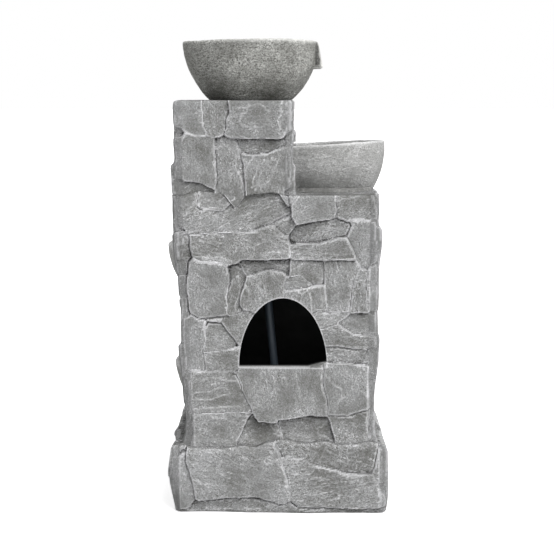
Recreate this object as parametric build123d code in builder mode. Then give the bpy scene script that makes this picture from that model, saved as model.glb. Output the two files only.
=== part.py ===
from build123d import *
import os
from math import cos, sin, radians

# Garden fountain, all lengths in mm. X runs to the right of the service side, Y away from it, Z up;
# the origin is on the ground at the middle of the plinth.

# Heights of the stack
PLINTH_TOP = 120
SHELF_Z = 571
DECK_Z = 735

# Plain wall planes behind the stones
PLINTH_WIDTH = 376
PLINTH_DEPTH = 340
TOWER_REAR = -155
TOWER_FRONT = 52
TOWER_LEFT_LOW = -162
TOWER_LEFT_HIGH = -180
TOWER_RIGHT_LOW = 168
TOWER_RIGHT_HIGH = 169
BLOCK_LEFT = -178
BLOCK_RIGHT = 19
CORNER_RADIUS = 10

# Wall build-up: stone facing on a laminate core
FACE_THICK = 7
CORE_THICK = 8
TANK_FLOOR = 10
STONE_ROOT = 6
STONE_JOINT = 1.2

# How far the frame that the rear stones are laid out in reaches past the plain wall
REAR_OVER_LEFT_LOW = 21
REAR_OVER_LEFT_HIGH = -2.6
REAR_OVER_RIGHT_LOW = 9.7
REAR_OVER_RIGHT_HIGH = 3.1
BLOCK_OVER = 6.5
PLINTH_OVER = 7
SIDE_OVER = 5

# Service arch in the rear wall
ARCH_X = 6.2
ARCH_SILL = PLINTH_TOP + 145
ARCH_HALF_WIDTH = 78.3
ARCH_RISE = 125
ARCH_SILL_FLAT = 45
ARCH_START_DEG = 4

# Bowls: centre, foot height, height, rim, middle and foot radius, bearing of the spout
BOWL_WALL = 11
BOWL_FLOOR = 14
RIM_ROUND = 4
TOP_BOWL = dict(x=-52, y=-57, z=DECK_Z, h=104, rim=121, mid=111, foot=74, spout=0)
RIGHT_BOWL = dict(x=82, y=-4, z=SHELF_Z, h=86, rim=114, mid=111, foot=92, spout=128)
LEFT_BOWL = dict(x=-82, y=56, z=PLINTH_TOP + 236, h=108, rim=132, mid=121, foot=82, spout=30)
BASIN = dict(x=-35, y=41, z=PLINTH_TOP, h=118, rim=166, mid=151, foot=110, spout=None)
CORBEL_RADII = (80, 60, 38)
CORBEL_COURSE = 31
CORBEL_BATTER = 5

# Spout: a tongue that hangs over the rim, with a channel down its middle
SPOUT_WIDTH = 52
SPOUT_REACH = 8
SPOUT_DROP = 47
SPOUT_BEND_REACH = 3
SPOUT_BEND_DROP = 17
CHANNEL_WIDTH = 34
CHANNEL_DEPTH = 14
CHANNEL_BEND_DEPTH = 25
CHANNEL_LIP = 8

# Mortar beds round the feet of the fixed bowls
BED_HEIGHT = 9
BED_WIDTH = 13

# Water return from the basin into the sump
RETURN_X = -35
RETURN_Y = TOWER_FRONT + 56
PIPE_RADIUS = 16
PIPE_WALL = 2.5
PIPE_LOW = PLINTH_TOP - 36
PIPE_HIGH = PLINTH_TOP + 70
COLLAR_RADIUS = PIPE_RADIUS + 7
COLLAR_HEIGHT = 4
FIT_GAP = 0.05

# Riser hose
HOSE_RADIUS = 7.5
HOSE_BORE = HOSE_RADIUS - 2
HOSE_TOP = DECK_Z + 40
HOSE_BENDS = (150, 400, 600)
HOSE_LEAN_Z = PLINTH_TOP - 7
HOSE_SWAY_X = -29
HOSE_SWAY_Z = PLINTH_TOP + 337
HOSE_UPRIGHT_Z = SHELF_Z + 49
DECK_HOLE_RADIUS = HOSE_RADIUS + 3.5
GROMMET_RADIUS = HOSE_RADIUS + 5.5
GROMMET_FLANGE = GROMMET_RADIUS + 6
GROMMET_FLANGE_HEIGHT = 3
SLIDE_GAP = 0.15

# Pump, lying with its shaft along Y and its strainer to the service side
PUMP_X = -6
PUMP_Y = -38
PUMP_WIDTH = 48
PUMP_HEIGHT = 50
PUMP_DEPTH = 44
PUMP_ROUND = 5
FOOT_HEIGHT = 8
VOLUTE_DEPTH = 18
VOLUTE_WALL = 4
SPIGOT_DEPTH = 5
STRAINER_DEPTH = 20
STRAINER_WALL = 2
OUTLET_X = 9
OUTLET_LENGTH = 26
OUTLET_BORE = HOSE_BORE - 1.9
WELL_RADIUS = 11
WELL_DEPTH = PUMP_DEPTH - 8
MAGNET_RADIUS = WELL_RADIUS - 1.2
MAGNET_LENGTH = WELL_DEPTH - 6
CHAMBER_RADIUS = 17.5
IMPELLER_RADIUS = CHAMBER_RADIUS - 2.5
IMPELLER_DISC = 2
IMPELLER_HUB = 6
BLADE_COUNT = 6
BLADE_HEIGHT = 7
BLADE_THICK = 1.6
CHAMBER_DEPTH = VOLUTE_DEPTH - VOLUTE_WALL
SHAFT_RADIUS = 1.5
RUN_GAP = 0.04
BUSH_RADIUS = SHAFT_RADIUS + 2
BUSH_LENGTH = 4
INLET_RADIUS = 11
SPIDER_WIDTH = 3
SPIDER_HUB = BUSH_RADIUS + 2
SEAL_RADIUS = CHAMBER_RADIUS + 2.5
SEAL_SECTION = 1.25
DIAL_RADIUS = 9
DIAL_HEIGHT = 4
DIAL_STEM = 3
DIAL_HEAD = DIAL_STEM + 2
DIAL_GRIP_WIDTH = 2.5
DIAL_GRIP_HEIGHT = 4
DIAL_GRIP_LENGTH = 15
SLOT_COUNT = 3
SLOT_WIDTH = 2.5
SLOT_PITCH = 4.5
SLOT_HEIGHT = 34
GLAND_RADIUS = 7
GLAND_LENGTH = 12
GLAND_BORE = 3.25
GLAND_FLOOR = 2
GLAND_HEIGHT = 36
CUP_RADIUS = 9
CUP_STEM = 4
CUP_THICK = 1.6

# Rear stones of the tower below the shelf: how proud each one stands, then its outline in hundredths
# of the frame, from the left and from the bottom.
TOWER_REAR_STONES = [
    (5, (0, 87), (8, 88), (9, 99), (0, 99)),
    (7, (11, 94.5), (23, 94.5), (26, 99), (12, 99.5)),
    (5, (10, 93), (23, 94), (33, 97.5), (50, 99), (56, 96), (57, 93), (47, 88.5), (35, 86), (8, 85), (5, 88)),
    (9, (60, 100), (78.5, 100), (78.5, 92), (70, 90.5), (57.5, 91), (58, 95)),
    (7, (80, 100), (99, 100), (99.5, 91), (84, 90.5), (80, 92)),
    (4, (48, 89), (53, 92.5), (57, 92), (56, 86), (54, 84.5), (50, 86.5)),
    (3, (58, 85), (66, 88.5), (70, 90), (82, 90), (86, 88), (82, 84.5), (69, 81), (57, 81.5)),
    (10, (57.5, 80.5), (69, 81), (82, 84.5), (88, 78), (89, 75), (58, 75)),
    (7, (87, 90), (99, 90), (99.5, 74), (94, 71.5), (90.5, 74), (88.5, 80)),
    (10, (8, 85), (35, 86), (47, 88.3), (54, 84), (55, 82), (55, 75.5), (30, 75), (10, 75), (7, 80)),
    (6, (0, 75), (6, 76), (4, 84), (0, 86)),
    (10, (8, 74.5), (22, 73.5), (26, 70), (24, 60), (24.5, 54), (20, 53), (10, 52), (6, 55), (5.5, 64)),
    (4, (26, 71), (31, 73), (33.5, 68), (31, 60), (30, 54), (25.5, 54)),
    (8, (34, 68), (45, 70.5), (52, 70), (53, 66), (52.5, 60), (45, 59.5), (40, 57), (31, 57.5)),
    (3, (32, 74.5), (56, 75), (56.5, 71), (46, 71), (35, 69.5)),
    (6, (54, 66), (61, 69), (66, 65.5), (60, 63), (54, 63)),
    (5, (57, 74.5), (72.5, 74.5), (73, 66), (67, 66), (61, 69.5), (57, 70)),
    (7, (54, 62.5), (66, 64.5), (73, 65), (74.5, 55), (67, 55.5), (62, 58), (53.5, 59.5)),
    (7, (73.5, 74.5), (88.5, 74.5), (90, 72), (88, 66), (86, 55), (75.5, 55)),
    (9, (91, 71), (94, 71), (94.5, 55), (86.5, 55), (88, 67)),
    (8, (95.5, 72), (99.5, 73), (99.5, 54), (95, 55)),
    (4, (15, 49), (22, 50), (26, 45), (30, 40), (22, 39.5), (14, 38)),
    (6, (3, 52), (13.5, 51.5), (13, 38), (14, 31), (4, 31)),
    (6, (15, 52), (30, 53.5), (37, 52.5), (33.5, 46), (31.5, 40.5), (23, 50.5)),
    (7, (14.5, 37.5), (31, 39.5), (30.5, 32), (14.5, 31)),
    (8, (70, 54), (86, 54), (80, 50), (72, 48.5)),
    (5, (81, 50), (87, 53.5), (99, 53), (99, 46), (88, 46)),
    (9, (72.5, 47.5), (80, 49.5), (88, 45.5), (99, 45), (99, 40), (88, 40.5), (75, 41)),
    (6, (75.5, 40), (88, 39.5), (98, 37), (98, 34), (90, 33), (76, 34.5)),
    (8, (6, 30), (15, 30.5), (27, 29.5), (30, 26), (37, 14.5), (20, 14), (8, 14)),
    (10, (30, 31), (55, 31), (70, 32.5), (72, 28), (75, 14), (66, 13.5), (50, 11), (40, 10), (33, 22)),
    (11, (73, 28), (76, 33.5), (84, 34), (96, 32.5), (96, 16), (90, 15), (80, 12.5), (76, 13)),
    (9, (8, 13.5), (36, 14), (33, 9), (30, 4), (26, 1), (7, 1)),
    (3, (37, 13), (40, 10), (50, 8.5), (52, 2), (31, 2)),
    (4, (50, 11), (66, 12.5), (75, 11), (78, 3), (52, 3)),
    (10, (76, 13), (84, 12), (96, 15), (96, 3), (79, 3)),
]
# Rear stones of the block above the shelf
BLOCK_REAR_STONES = [
    (9, (1, 99), (24, 99), (25, 70), (28, 65), (18, 65), (12, 69), (0, 74)),
    (7, (26, 99), (44, 99), (46, 90), (43, 80), (42, 69), (38, 64), (29, 66), (26, 72)),
    (10, (46, 99), (98, 99), (98, 70), (88, 62), (60, 61.5), (45, 61.5), (44, 80), (47, 88)),
    (9, (0, 63), (12, 65), (20, 62), (34, 57.5), (34.5, 4), (28, 7), (12, 16), (0, 20)),
    (4, (1, 15), (12, 13), (30, 3), (34, 1), (2, 1)),
    (4, (36, 58), (50, 59), (55, 45), (58, 30), (59, 3), (36, 3)),
    (3, (53, 58), (96, 58), (96, 53), (88, 50), (78, 44), (60, 44)),
    (8, (57, 43), (70, 42), (80, 44), (98, 52), (98, 8), (93, 3), (61, 3), (59, 25)),
]
# Rear stones of the plinth
PLINTH_REAR_STONES = [
    (8, (1, 85), (6, 85), (8, 70), (10.5, 25), (9, 8), (2, 4)),
    (11, (8, 82), (20, 84), (36, 88), (47, 96), (53, 60), (55, 30), (52, 14), (40, 26), (26, 27), (12, 23)),
    (6, (11, 20), (21, 18), (27, 24), (40, 24), (50, 13), (56, 8), (99, 7), (99, 2), (3, 2)),
    (7, (50, 98), (70, 95), (95, 98), (92, 63), (79, 64), (73, 70), (60, 82), (52, 85)),
    (10, (53, 82), (60, 80), (72, 69), (79, 61), (92, 61), (98, 30), (99, 10), (58, 10), (56, 30)),
    (8, (93, 62), (96, 96), (99.5, 94), (99, 40)),
]

# Coursed stones of the walls that are not listed one by one
COURSE_SHARES = (31, 19, 27, 36, 22, 29)
COURSE_HEIGHTS = (8, 5, 10, 6, 9, 4, 7)
COURSE_WAVE = 3.0
COURSE_WAVE_RATE = 0.075
COURSE_ROW_TURN = 2.3
COURSE_LEAN = 2.5
LEAN_ROW_TURN = 5.1
LEAN_STONE_TURN = 3.7
LAST_STONE_ROOM = 1.4


def tower_left(z):
    share = (z - PLINTH_TOP) / (SHELF_Z - PLINTH_TOP)
    return TOWER_LEFT_LOW + (TOWER_LEFT_HIGH - TOWER_LEFT_LOW) * share


def tower_right(z):
    share = (z - PLINTH_TOP) / (SHELF_Z - PLINTH_TOP)
    return TOWER_RIGHT_LOW + (TOWER_RIGHT_HIGH - TOWER_RIGHT_LOW) * share


def tower_outline(z, left, right, inset):
    """Rounded rectangle of the tower at height z with every side set in."""
    with BuildSketch(Plane.XY.offset(z)) as outline:
        with Locations(((left + right) / 2, (TOWER_REAR + TOWER_FRONT) / 2)):
            RectangleRounded(
                right - left - 2 * inset,
                TOWER_FRONT - TOWER_REAR - 2 * inset,
                max(CORNER_RADIUS - inset / 2, 2),
            )
    return outline.sketch


def tower_solid(inset):
    """Lower tower and the block on it as one solid, walls and tops set in alike."""
    shelf = SHELF_Z - inset
    with BuildPart() as solid:
        low = tower_outline(PLINTH_TOP, TOWER_LEFT_LOW, TOWER_RIGHT_LOW, inset)
        high = tower_outline(shelf, tower_left(shelf), tower_right(shelf), inset)
        loft([low, high], ruled=True)
        extrude(tower_outline(shelf, BLOCK_LEFT, BLOCK_RIGHT, inset), amount=DECK_Z - SHELF_Z)
    return solid.part


def plinth_solid(inset):
    with BuildPart() as solid:
        with BuildSketch():
            RectangleRounded(
                PLINTH_WIDTH - 2 * inset, PLINTH_DEPTH - 2 * inset, CORNER_RADIUS - inset / 2
            )
        extrude(amount=PLINTH_TOP - inset)
    return solid.part


def wall_stones(corners, stones):
    """Solid stones on the wall between four corners, given from its lower left as seen from outside."""
    low_left, low_right, high_right, high_left = (Vector(*corner) for corner in corners)
    across = low_right - low_left
    outward = across.cross(high_left - low_left)
    wall = Plane(origin=low_left, x_dir=across, z_dir=outward)
    quad = [wall.to_local_coords(p) for p in (low_left, low_right, high_right, high_left)]

    def place(u, v):
        low = quad[0] * (1 - u) + quad[1] * u
        high = quad[3] * (1 - u) + quad[2] * u
        return low * (1 - v) + high * v

    with BuildPart() as raised:
        for proud in sorted({stone[0] for stone in stones}):
            with BuildSketch(wall.offset(-STONE_ROOT)) as layer:
                for outline in [stone[1:] for stone in stones if stone[0] == proud]:
                    points = [place(u / 100, v / 100) for u, v in outline]
                    middle = sum(points, Vector()) * (1 / len(points))
                    points = [p + (middle - p).normalized() * STONE_JOINT for p in points]
                    with BuildLine():
                        Polyline(*[(p.X, p.Y) for p in points], close=True)
                    make_face()
            extrude(amount=proud + STONE_ROOT)
    return raised.part


def coursed_stones(courses, start):
    """Rough courses for one wall: wavy beds, uneven stone lengths, joints that lean."""

    def bed(row, u):
        inner = 0 < row < courses
        wave = COURSE_WAVE * sin(COURSE_WAVE_RATE * u + COURSE_ROW_TURN * row + start) if inner else 0
        return min(max(100 * row / courses + wave, 1), 99)

    def lean(row, joint):
        return COURSE_LEAN * sin(LEAN_ROW_TURN * row + LEAN_STONE_TURN * joint + start)

    stones = []
    for row in range(courses):
        ends = [0]
        while ends[-1] < 100:
            share = COURSE_SHARES[(start + 2 * row + len(ends)) % len(COURSE_SHARES)]
            ends.append(ends[-1] + share if ends[-1] + LAST_STONE_ROOM * share < 100 else 100)
        for i, (left, right) in enumerate(zip(ends, ends[1:])):
            lean_left = lean(row, i) if left > 0 else 0
            lean_right = lean(row, i + 1) if right < 100 else 0
            lows = (left + lean_left, (left + right) / 2, right + lean_right)
            highs = (right - lean_right, (left + right) / 2, left - lean_left)
            proud = COURSE_HEIGHTS[(start + 3 * row + 2 * i) % len(COURSE_HEIGHTS)]
            outline = [(u, bed(row, u)) for u in lows] + [(u, bed(row + 1, u)) for u in highs]
            stones.append((proud, *outline))
    return stones


def box_walls(left, right, rear, front, low, high, over):
    """Corners of the right, front and left wall of an upright box, each widened at both ends."""
    return {
        "right": [
            (right, rear - over, low),
            (right, front + over, low),
            (right, front + over, high),
            (right, rear - over, high),
        ],
        "front": [
            (right + over, front, low),
            (left - over, front, low),
            (left - over, front, high),
            (right + over, front, high),
        ],
        "left": [
            (left, front + over, low),
            (left, rear - over, low),
            (left, rear - over, high),
            (left, front + over, high),
        ],
    }


def bowl_plane(bowl):
    """Upright plane through the bowl's axis: x points to its spout, y up from its foot."""
    bearing = radians(bowl["spout"] or 0)
    return Plane(
        origin=(bowl["x"], bowl["y"], bowl["z"]),
        x_dir=(cos(bearing), sin(bearing), 0),
        z_dir=(sin(bearing), -cos(bearing), 0),
    )


def bowl_axis(bowl):
    return Axis((bowl["x"], bowl["y"], bowl["z"]), (0, 0, 1))


def bowl_blank(bowl):
    """Outer form of a bowl before it is hollowed, with its spout tongue, fitted to the tower's walls."""
    rim, height = bowl["rim"], bowl["h"]
    with BuildPart() as blank:
        with BuildSketch(bowl_plane(bowl)):
            with BuildLine():
                side = ThreePointArc(
                    (bowl["foot"], 0), (bowl["mid"], height / 2), (rim, height - RIM_ROUND)
                )
                edge = RadiusArc(side @ 1, (rim - RIM_ROUND, height), -RIM_ROUND)
                Polyline(edge @ 1, (0, height), (0, 0), side @ 0)
            make_face()
        revolve(axis=bowl_axis(bowl))
        if bowl["spout"] is not None:
            with BuildSketch(bowl_plane(bowl)):
                with BuildLine():
                    Polyline(
                        (rim - BOWL_WALL, height),
                        (rim - RIM_ROUND, height),
                        (rim, height - RIM_ROUND),
                        (rim + SPOUT_BEND_REACH, height - SPOUT_BEND_DROP),
                        (rim + SPOUT_REACH, height - SPOUT_DROP),
                        (rim - BOWL_WALL, height - SPOUT_DROP),
                        close=True,
                    )
                make_face()
            extrude(amount=SPOUT_WIDTH / 2, both=True)
        add(tower_plain, mode=Mode.SUBTRACT)
    return blank.part


def bowl_hollow(bowl):
    """Water space of a bowl, open at the rim."""
    rim, height, foot = bowl["rim"] - BOWL_WALL, bowl["h"], bowl["foot"] - BOWL_WALL
    with BuildPart() as hollow:
        with BuildSketch(bowl_plane(bowl)):
            with BuildLine():
                floor = Line((0, BOWL_FLOOR), (foot, BOWL_FLOOR))
                middle = (bowl["mid"] - BOWL_WALL, (height + BOWL_FLOOR) / 2)
                side = ThreePointArc(floor @ 1, middle, (rim, height - RIM_ROUND))
                edge = RadiusArc(side @ 1, (rim + RIM_ROUND, height), RIM_ROUND)
                Polyline(edge @ 1, (0, height), (0, BOWL_FLOOR))
            make_face()
        revolve(axis=bowl_axis(bowl))
        if bowl["spout"] is not None:
            lip = bowl["rim"] + SPOUT_REACH - CHANNEL_LIP
            with BuildSketch(bowl_plane(bowl)):
                with BuildLine():
                    Polyline(
                        (rim - BOWL_WALL, height - CHANNEL_DEPTH),
                        (lip - CHANNEL_LIP, height - CHANNEL_DEPTH),
                        (lip - CHANNEL_LIP / 2, height - CHANNEL_BEND_DEPTH),
                        (lip, height - SPOUT_DROP),
                        (lip + 3 * SPOUT_REACH, height - SPOUT_DROP),
                        (lip + 3 * SPOUT_REACH, height),
                        (rim - BOWL_WALL, height),
                        close=True,
                    )
                make_face()
            extrude(amount=CHANNEL_WIDTH / 2, both=True)
    return hollow.part


def mortar_bed(bowl):
    """Ring of mortar in the angle between a bowl's foot and what it stands on."""
    with BuildPart() as bed:
        with BuildSketch(bowl_plane(bowl)):
            with BuildLine():
                base = Line((bowl["foot"] - BED_WIDTH, 0), (bowl["foot"] + BED_WIDTH, 0))
                slope = Line(base @ 1, (bowl["foot"] + BED_WIDTH / 2, BED_HEIGHT))
                Polyline(slope @ 1, (bowl["foot"] - BED_WIDTH, BED_HEIGHT), base @ 0)
            make_face()
        revolve(axis=bowl_axis(bowl))
    return bed.part


# Plain solids that several pieces are cut with
tower_plain = tower_solid(0)
tower_core_plain = tower_solid(FACE_THICK)
tower_hollow = tower_solid(FACE_THICK + CORE_THICK)
plinth_plain = plinth_solid(0)
plinth_core_plain = plinth_solid(FACE_THICK)
right_blank = bowl_blank(RIGHT_BOWL)
left_blank = bowl_blank(LEFT_BOWL)
basin_blank = bowl_blank(BASIN)

with BuildPart() as arch_cut:
    with BuildSketch(Plane(origin=(ARCH_X, TOWER_REAR, ARCH_SILL), x_dir=(1, 0, 0), z_dir=(0, -1, 0))):
        with BuildLine():
            crown = EllipticalCenterArc(
                (0, 0), ARCH_HALF_WIDTH, ARCH_RISE, ARCH_START_DEG, arc_size=180 - ARCH_START_DEG
            )
            Polyline(crown @ 1, (ARCH_SILL_FLAT, 0), crown @ 0)
        make_face()
    extrude(amount=2 * (FACE_THICK + CORE_THICK), both=True)

with BuildPart() as chamber_well:
    with BuildSketch(Plane.XY.offset(PLINTH_TOP)):
        with Locations(((TOWER_LEFT_LOW + TOWER_RIGHT_LOW) / 2, (TOWER_REAR + TOWER_FRONT) / 2)):
            Rectangle(
                TOWER_RIGHT_LOW - TOWER_LEFT_LOW - 2 * (FACE_THICK + CORE_THICK),
                TOWER_FRONT - TOWER_REAR - 2 * (FACE_THICK + CORE_THICK),
            )
    extrude(amount=-2 * (FACE_THICK + CORE_THICK))

with BuildPart() as return_hole:
    with Locations((RETURN_X, RETURN_Y, PIPE_LOW)):
        Cylinder(
            PIPE_RADIUS + FIT_GAP,
            PIPE_HIGH - PIPE_LOW,
            align=(Align.CENTER, Align.CENTER, Align.MIN),
        )

# Laminate core of the tower
with BuildPart() as tower_core:
    add(tower_core_plain)
    add(tower_hollow, mode=Mode.SUBTRACT)
    add(arch_cut.part, mode=Mode.SUBTRACT)
    with Locations((TOP_BOWL["x"], TOP_BOWL["y"], DECK_Z)):
        Cylinder(DECK_HOLE_RADIUS, 4 * (FACE_THICK + CORE_THICK), mode=Mode.SUBTRACT)

# Mortar beds under the fixed bowls
with BuildPart() as right_bowl_bedding:
    add(mortar_bed(RIGHT_BOWL))
    add(right_blank, mode=Mode.SUBTRACT)
    add(tower_plain, mode=Mode.SUBTRACT)
    with Locations((BLOCK_RIGHT, (TOWER_REAR + TOWER_FRONT) / 2, SHELF_Z)):
        Box(
            TOWER_RIGHT_HIGH - BLOCK_RIGHT,
            TOWER_FRONT - TOWER_REAR,
            2 * BED_HEIGHT,
            align=(Align.MIN, Align.CENTER, Align.CENTER),
            mode=Mode.INTERSECT,
        )

with BuildPart() as basin_bedding:
    add(mortar_bed(BASIN))
    add(basin_blank, mode=Mode.SUBTRACT)
    add(tower_plain, mode=Mode.SUBTRACT)
    with Locations((0, TOWER_FRONT, PLINTH_TOP)):
        Box(
            PLINTH_WIDTH,
            PLINTH_DEPTH / 2 - TOWER_FRONT,
            2 * BED_HEIGHT,
            align=(Align.CENTER, Align.MIN, Align.CENTER),
            mode=Mode.INTERSECT,
        )

# Stacked stones that carry the left bowl at the tower's corner
with BuildPart() as left_bowl_corbel:
    for i, radius in enumerate(CORBEL_RADII):
        with BuildSketch(bowl_plane(LEFT_BOWL)):
            with BuildLine():
                Polyline(
                    (0, -i * CORBEL_COURSE),
                    (radius, -i * CORBEL_COURSE),
                    (radius - CORBEL_BATTER, -(i + 1) * CORBEL_COURSE),
                    (0, -(i + 1) * CORBEL_COURSE),
                    close=True,
                )
            make_face()
        revolve(axis=bowl_axis(LEFT_BOWL))
    add(tower_plain, mode=Mode.SUBTRACT)

# Stone facing of the tower
tower_rear_frame = [
    (TOWER_LEFT_LOW - REAR_OVER_LEFT_LOW, TOWER_REAR, PLINTH_TOP),
    (TOWER_RIGHT_LOW + REAR_OVER_RIGHT_LOW, TOWER_REAR, PLINTH_TOP),
    (TOWER_RIGHT_HIGH + REAR_OVER_RIGHT_HIGH, TOWER_REAR, SHELF_Z),
    (TOWER_LEFT_HIGH - REAR_OVER_LEFT_HIGH, TOWER_REAR, SHELF_Z),
]
block_rear_frame = [
    (BLOCK_LEFT - BLOCK_OVER, TOWER_REAR, SHELF_Z),
    (BLOCK_RIGHT + BLOCK_OVER, TOWER_REAR, SHELF_Z),
    (BLOCK_RIGHT + BLOCK_OVER, TOWER_REAR, DECK_Z),
    (BLOCK_LEFT - BLOCK_OVER, TOWER_REAR, DECK_Z),
]
tower_left_frame = [
    (TOWER_LEFT_LOW, TOWER_FRONT + SIDE_OVER, PLINTH_TOP),
    (TOWER_LEFT_LOW, TOWER_REAR - SIDE_OVER, PLINTH_TOP),
    (TOWER_LEFT_HIGH, TOWER_REAR - SIDE_OVER, SHELF_Z),
    (TOWER_LEFT_HIGH, TOWER_FRONT + SIDE_OVER, SHELF_Z),
]
tower_right_frame = [
    (TOWER_RIGHT_LOW, TOWER_REAR - SIDE_OVER, PLINTH_TOP),
    (TOWER_RIGHT_LOW, TOWER_FRONT + SIDE_OVER, PLINTH_TOP),
    (TOWER_RIGHT_HIGH, TOWER_FRONT + SIDE_OVER, SHELF_Z),
    (TOWER_RIGHT_HIGH, TOWER_REAR - SIDE_OVER, SHELF_Z),
]
tower_front_frame = [
    (TOWER_RIGHT_LOW + SIDE_OVER, TOWER_FRONT, PLINTH_TOP),
    (TOWER_LEFT_LOW - SIDE_OVER, TOWER_FRONT, PLINTH_TOP),
    (TOWER_LEFT_HIGH - SIDE_OVER, TOWER_FRONT, SHELF_Z),
    (TOWER_RIGHT_HIGH + SIDE_OVER, TOWER_FRONT, SHELF_Z),
]
block_walls = box_walls(BLOCK_LEFT, BLOCK_RIGHT, TOWER_REAR, TOWER_FRONT, SHELF_Z, DECK_Z, SIDE_OVER)
fitted = [right_blank, left_blank, basin_blank]
fitted += [right_bowl_bedding.part, basin_bedding.part, left_bowl_corbel.part]
with BuildPart() as stacked_wall:
    add(tower_plain)
    add(wall_stones(tower_rear_frame, TOWER_REAR_STONES))
    add(wall_stones(block_rear_frame, BLOCK_REAR_STONES))
    add(wall_stones(tower_right_frame, coursed_stones(7, 1)))
    add(wall_stones(tower_front_frame, coursed_stones(7, 2)))
    add(wall_stones(tower_left_frame, coursed_stones(7, 4)))
    add(wall_stones(block_walls["right"], coursed_stones(3, 2)))
    add(wall_stones(block_walls["front"], coursed_stones(3, 5)))
    add(wall_stones(block_walls["left"], coursed_stones(3, 3)))
    add(tower_core_plain, mode=Mode.SUBTRACT)
    for piece in fitted:
        add(piece, mode=Mode.SUBTRACT)
    add(arch_cut.part, mode=Mode.SUBTRACT)
    with Locations((TOP_BOWL["x"], TOP_BOWL["y"], DECK_Z)):
        Cylinder(DECK_HOLE_RADIUS, 4 * (FACE_THICK + CORE_THICK), mode=Mode.SUBTRACT)

# Chips that the bowls cut loose are left off
with BuildPart() as tower_stone_face:
    add(stacked_wall.part.solids().sort_by(SortBy.VOLUME)[-1])

# Plinth: the sump tank and the stones on it
with BuildPart() as plinth_tank:
    add(plinth_core_plain)
    with BuildSketch(Plane.XY.offset(TANK_FLOOR)):
        Rectangle(
            PLINTH_WIDTH - 2 * (FACE_THICK + CORE_THICK), PLINTH_DEPTH - 2 * (FACE_THICK + CORE_THICK)
        )
    extrude(amount=PLINTH_TOP - FACE_THICK - CORE_THICK - TANK_FLOOR, mode=Mode.SUBTRACT)
    add(chamber_well.part, mode=Mode.SUBTRACT)
    add(return_hole.part, mode=Mode.SUBTRACT)

plinth_rear_frame = [
    (-PLINTH_WIDTH / 2 - PLINTH_OVER, -PLINTH_DEPTH / 2, 0),
    (PLINTH_WIDTH / 2 + PLINTH_OVER, -PLINTH_DEPTH / 2, 0),
    (PLINTH_WIDTH / 2 + PLINTH_OVER, -PLINTH_DEPTH / 2, PLINTH_TOP),
    (-PLINTH_WIDTH / 2 - PLINTH_OVER, -PLINTH_DEPTH / 2, PLINTH_TOP),
]
plinth_walls = box_walls(
    -PLINTH_WIDTH / 2,
    PLINTH_WIDTH / 2,
    -PLINTH_DEPTH / 2,
    PLINTH_DEPTH / 2,
    0,
    PLINTH_TOP,
    SIDE_OVER,
)
with BuildPart() as plinth_stone_face:
    add(plinth_plain)
    add(wall_stones(plinth_rear_frame, PLINTH_REAR_STONES))
    add(wall_stones(plinth_walls["right"], coursed_stones(2, 3)))
    add(wall_stones(plinth_walls["front"], coursed_stones(2, 1)))
    add(wall_stones(plinth_walls["left"], coursed_stones(2, 5)))
    add(plinth_core_plain, mode=Mode.SUBTRACT)
    add(chamber_well.part, mode=Mode.SUBTRACT)
    add(return_hole.part, mode=Mode.SUBTRACT)

# Bowls
with BuildPart() as top_bowl:
    add(bowl_blank(TOP_BOWL))
    add(bowl_hollow(TOP_BOWL), mode=Mode.SUBTRACT)
    with Locations((TOP_BOWL["x"], TOP_BOWL["y"], DECK_Z)):
        Cylinder(GROMMET_RADIUS + FIT_GAP, 4 * BOWL_FLOOR, mode=Mode.SUBTRACT)

with BuildPart() as right_bowl:
    add(right_blank)
    add(bowl_hollow(RIGHT_BOWL), mode=Mode.SUBTRACT)

with BuildPart() as left_bowl:
    add(left_blank)
    add(bowl_hollow(LEFT_BOWL), mode=Mode.SUBTRACT)

with BuildPart() as basin_bowl:
    add(basin_blank)
    add(bowl_hollow(BASIN), mode=Mode.SUBTRACT)
    add(return_hole.part, mode=Mode.SUBTRACT)

with BuildPart() as bowl_grommet:
    with BuildSketch(bowl_plane(TOP_BOWL)):
        with BuildLine():
            Polyline(
                (HOSE_RADIUS + SLIDE_GAP, 0),
                (GROMMET_RADIUS, 0),
                (GROMMET_RADIUS, BOWL_FLOOR),
                (GROMMET_FLANGE, BOWL_FLOOR),
                (GROMMET_FLANGE, BOWL_FLOOR + GROMMET_FLANGE_HEIGHT),
                (HOSE_RADIUS + SLIDE_GAP, BOWL_FLOOR + GROMMET_FLANGE_HEIGHT),
                close=True,
            )
        make_face()
    revolve(axis=bowl_axis(TOP_BOWL))

# Standpipe that sets the basin's level and leads its water down to the sump
with BuildPart() as return_standpipe:
    basin_floor = PLINTH_TOP + BOWL_FLOOR
    with BuildSketch(Plane.XY.offset(PIPE_LOW)):
        with Locations((RETURN_X, RETURN_Y)):
            Circle(PIPE_RADIUS)
    extrude(amount=PIPE_HIGH - PIPE_LOW)
    with BuildSketch(Plane.XY.offset(basin_floor)):
        with Locations((RETURN_X, RETURN_Y)):
            Circle(COLLAR_RADIUS)
    extrude(amount=COLLAR_HEIGHT)
    with Locations((RETURN_X, RETURN_Y, PIPE_LOW)):
        Cylinder(PIPE_RADIUS - PIPE_WALL, 3 * PIPE_HIGH, mode=Mode.SUBTRACT)

# Pump: faces along its shaft, from the motor end to the service side
pump_low = TANK_FLOOR + FOOT_HEIGHT
pump_high = pump_low + PUMP_HEIGHT
shaft_z = pump_low + PUMP_HEIGHT / 2
motor_back = PUMP_Y + PUMP_DEPTH / 2
joint_y = PUMP_Y - PUMP_DEPTH / 2
volute_y = joint_y - VOLUTE_DEPTH
strainer_y = volute_y - STRAINER_DEPTH
outlet_y = joint_y - CHAMBER_DEPTH / 2
chamber_y = joint_y - CHAMBER_DEPTH
well_end = joint_y + WELL_DEPTH


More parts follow.
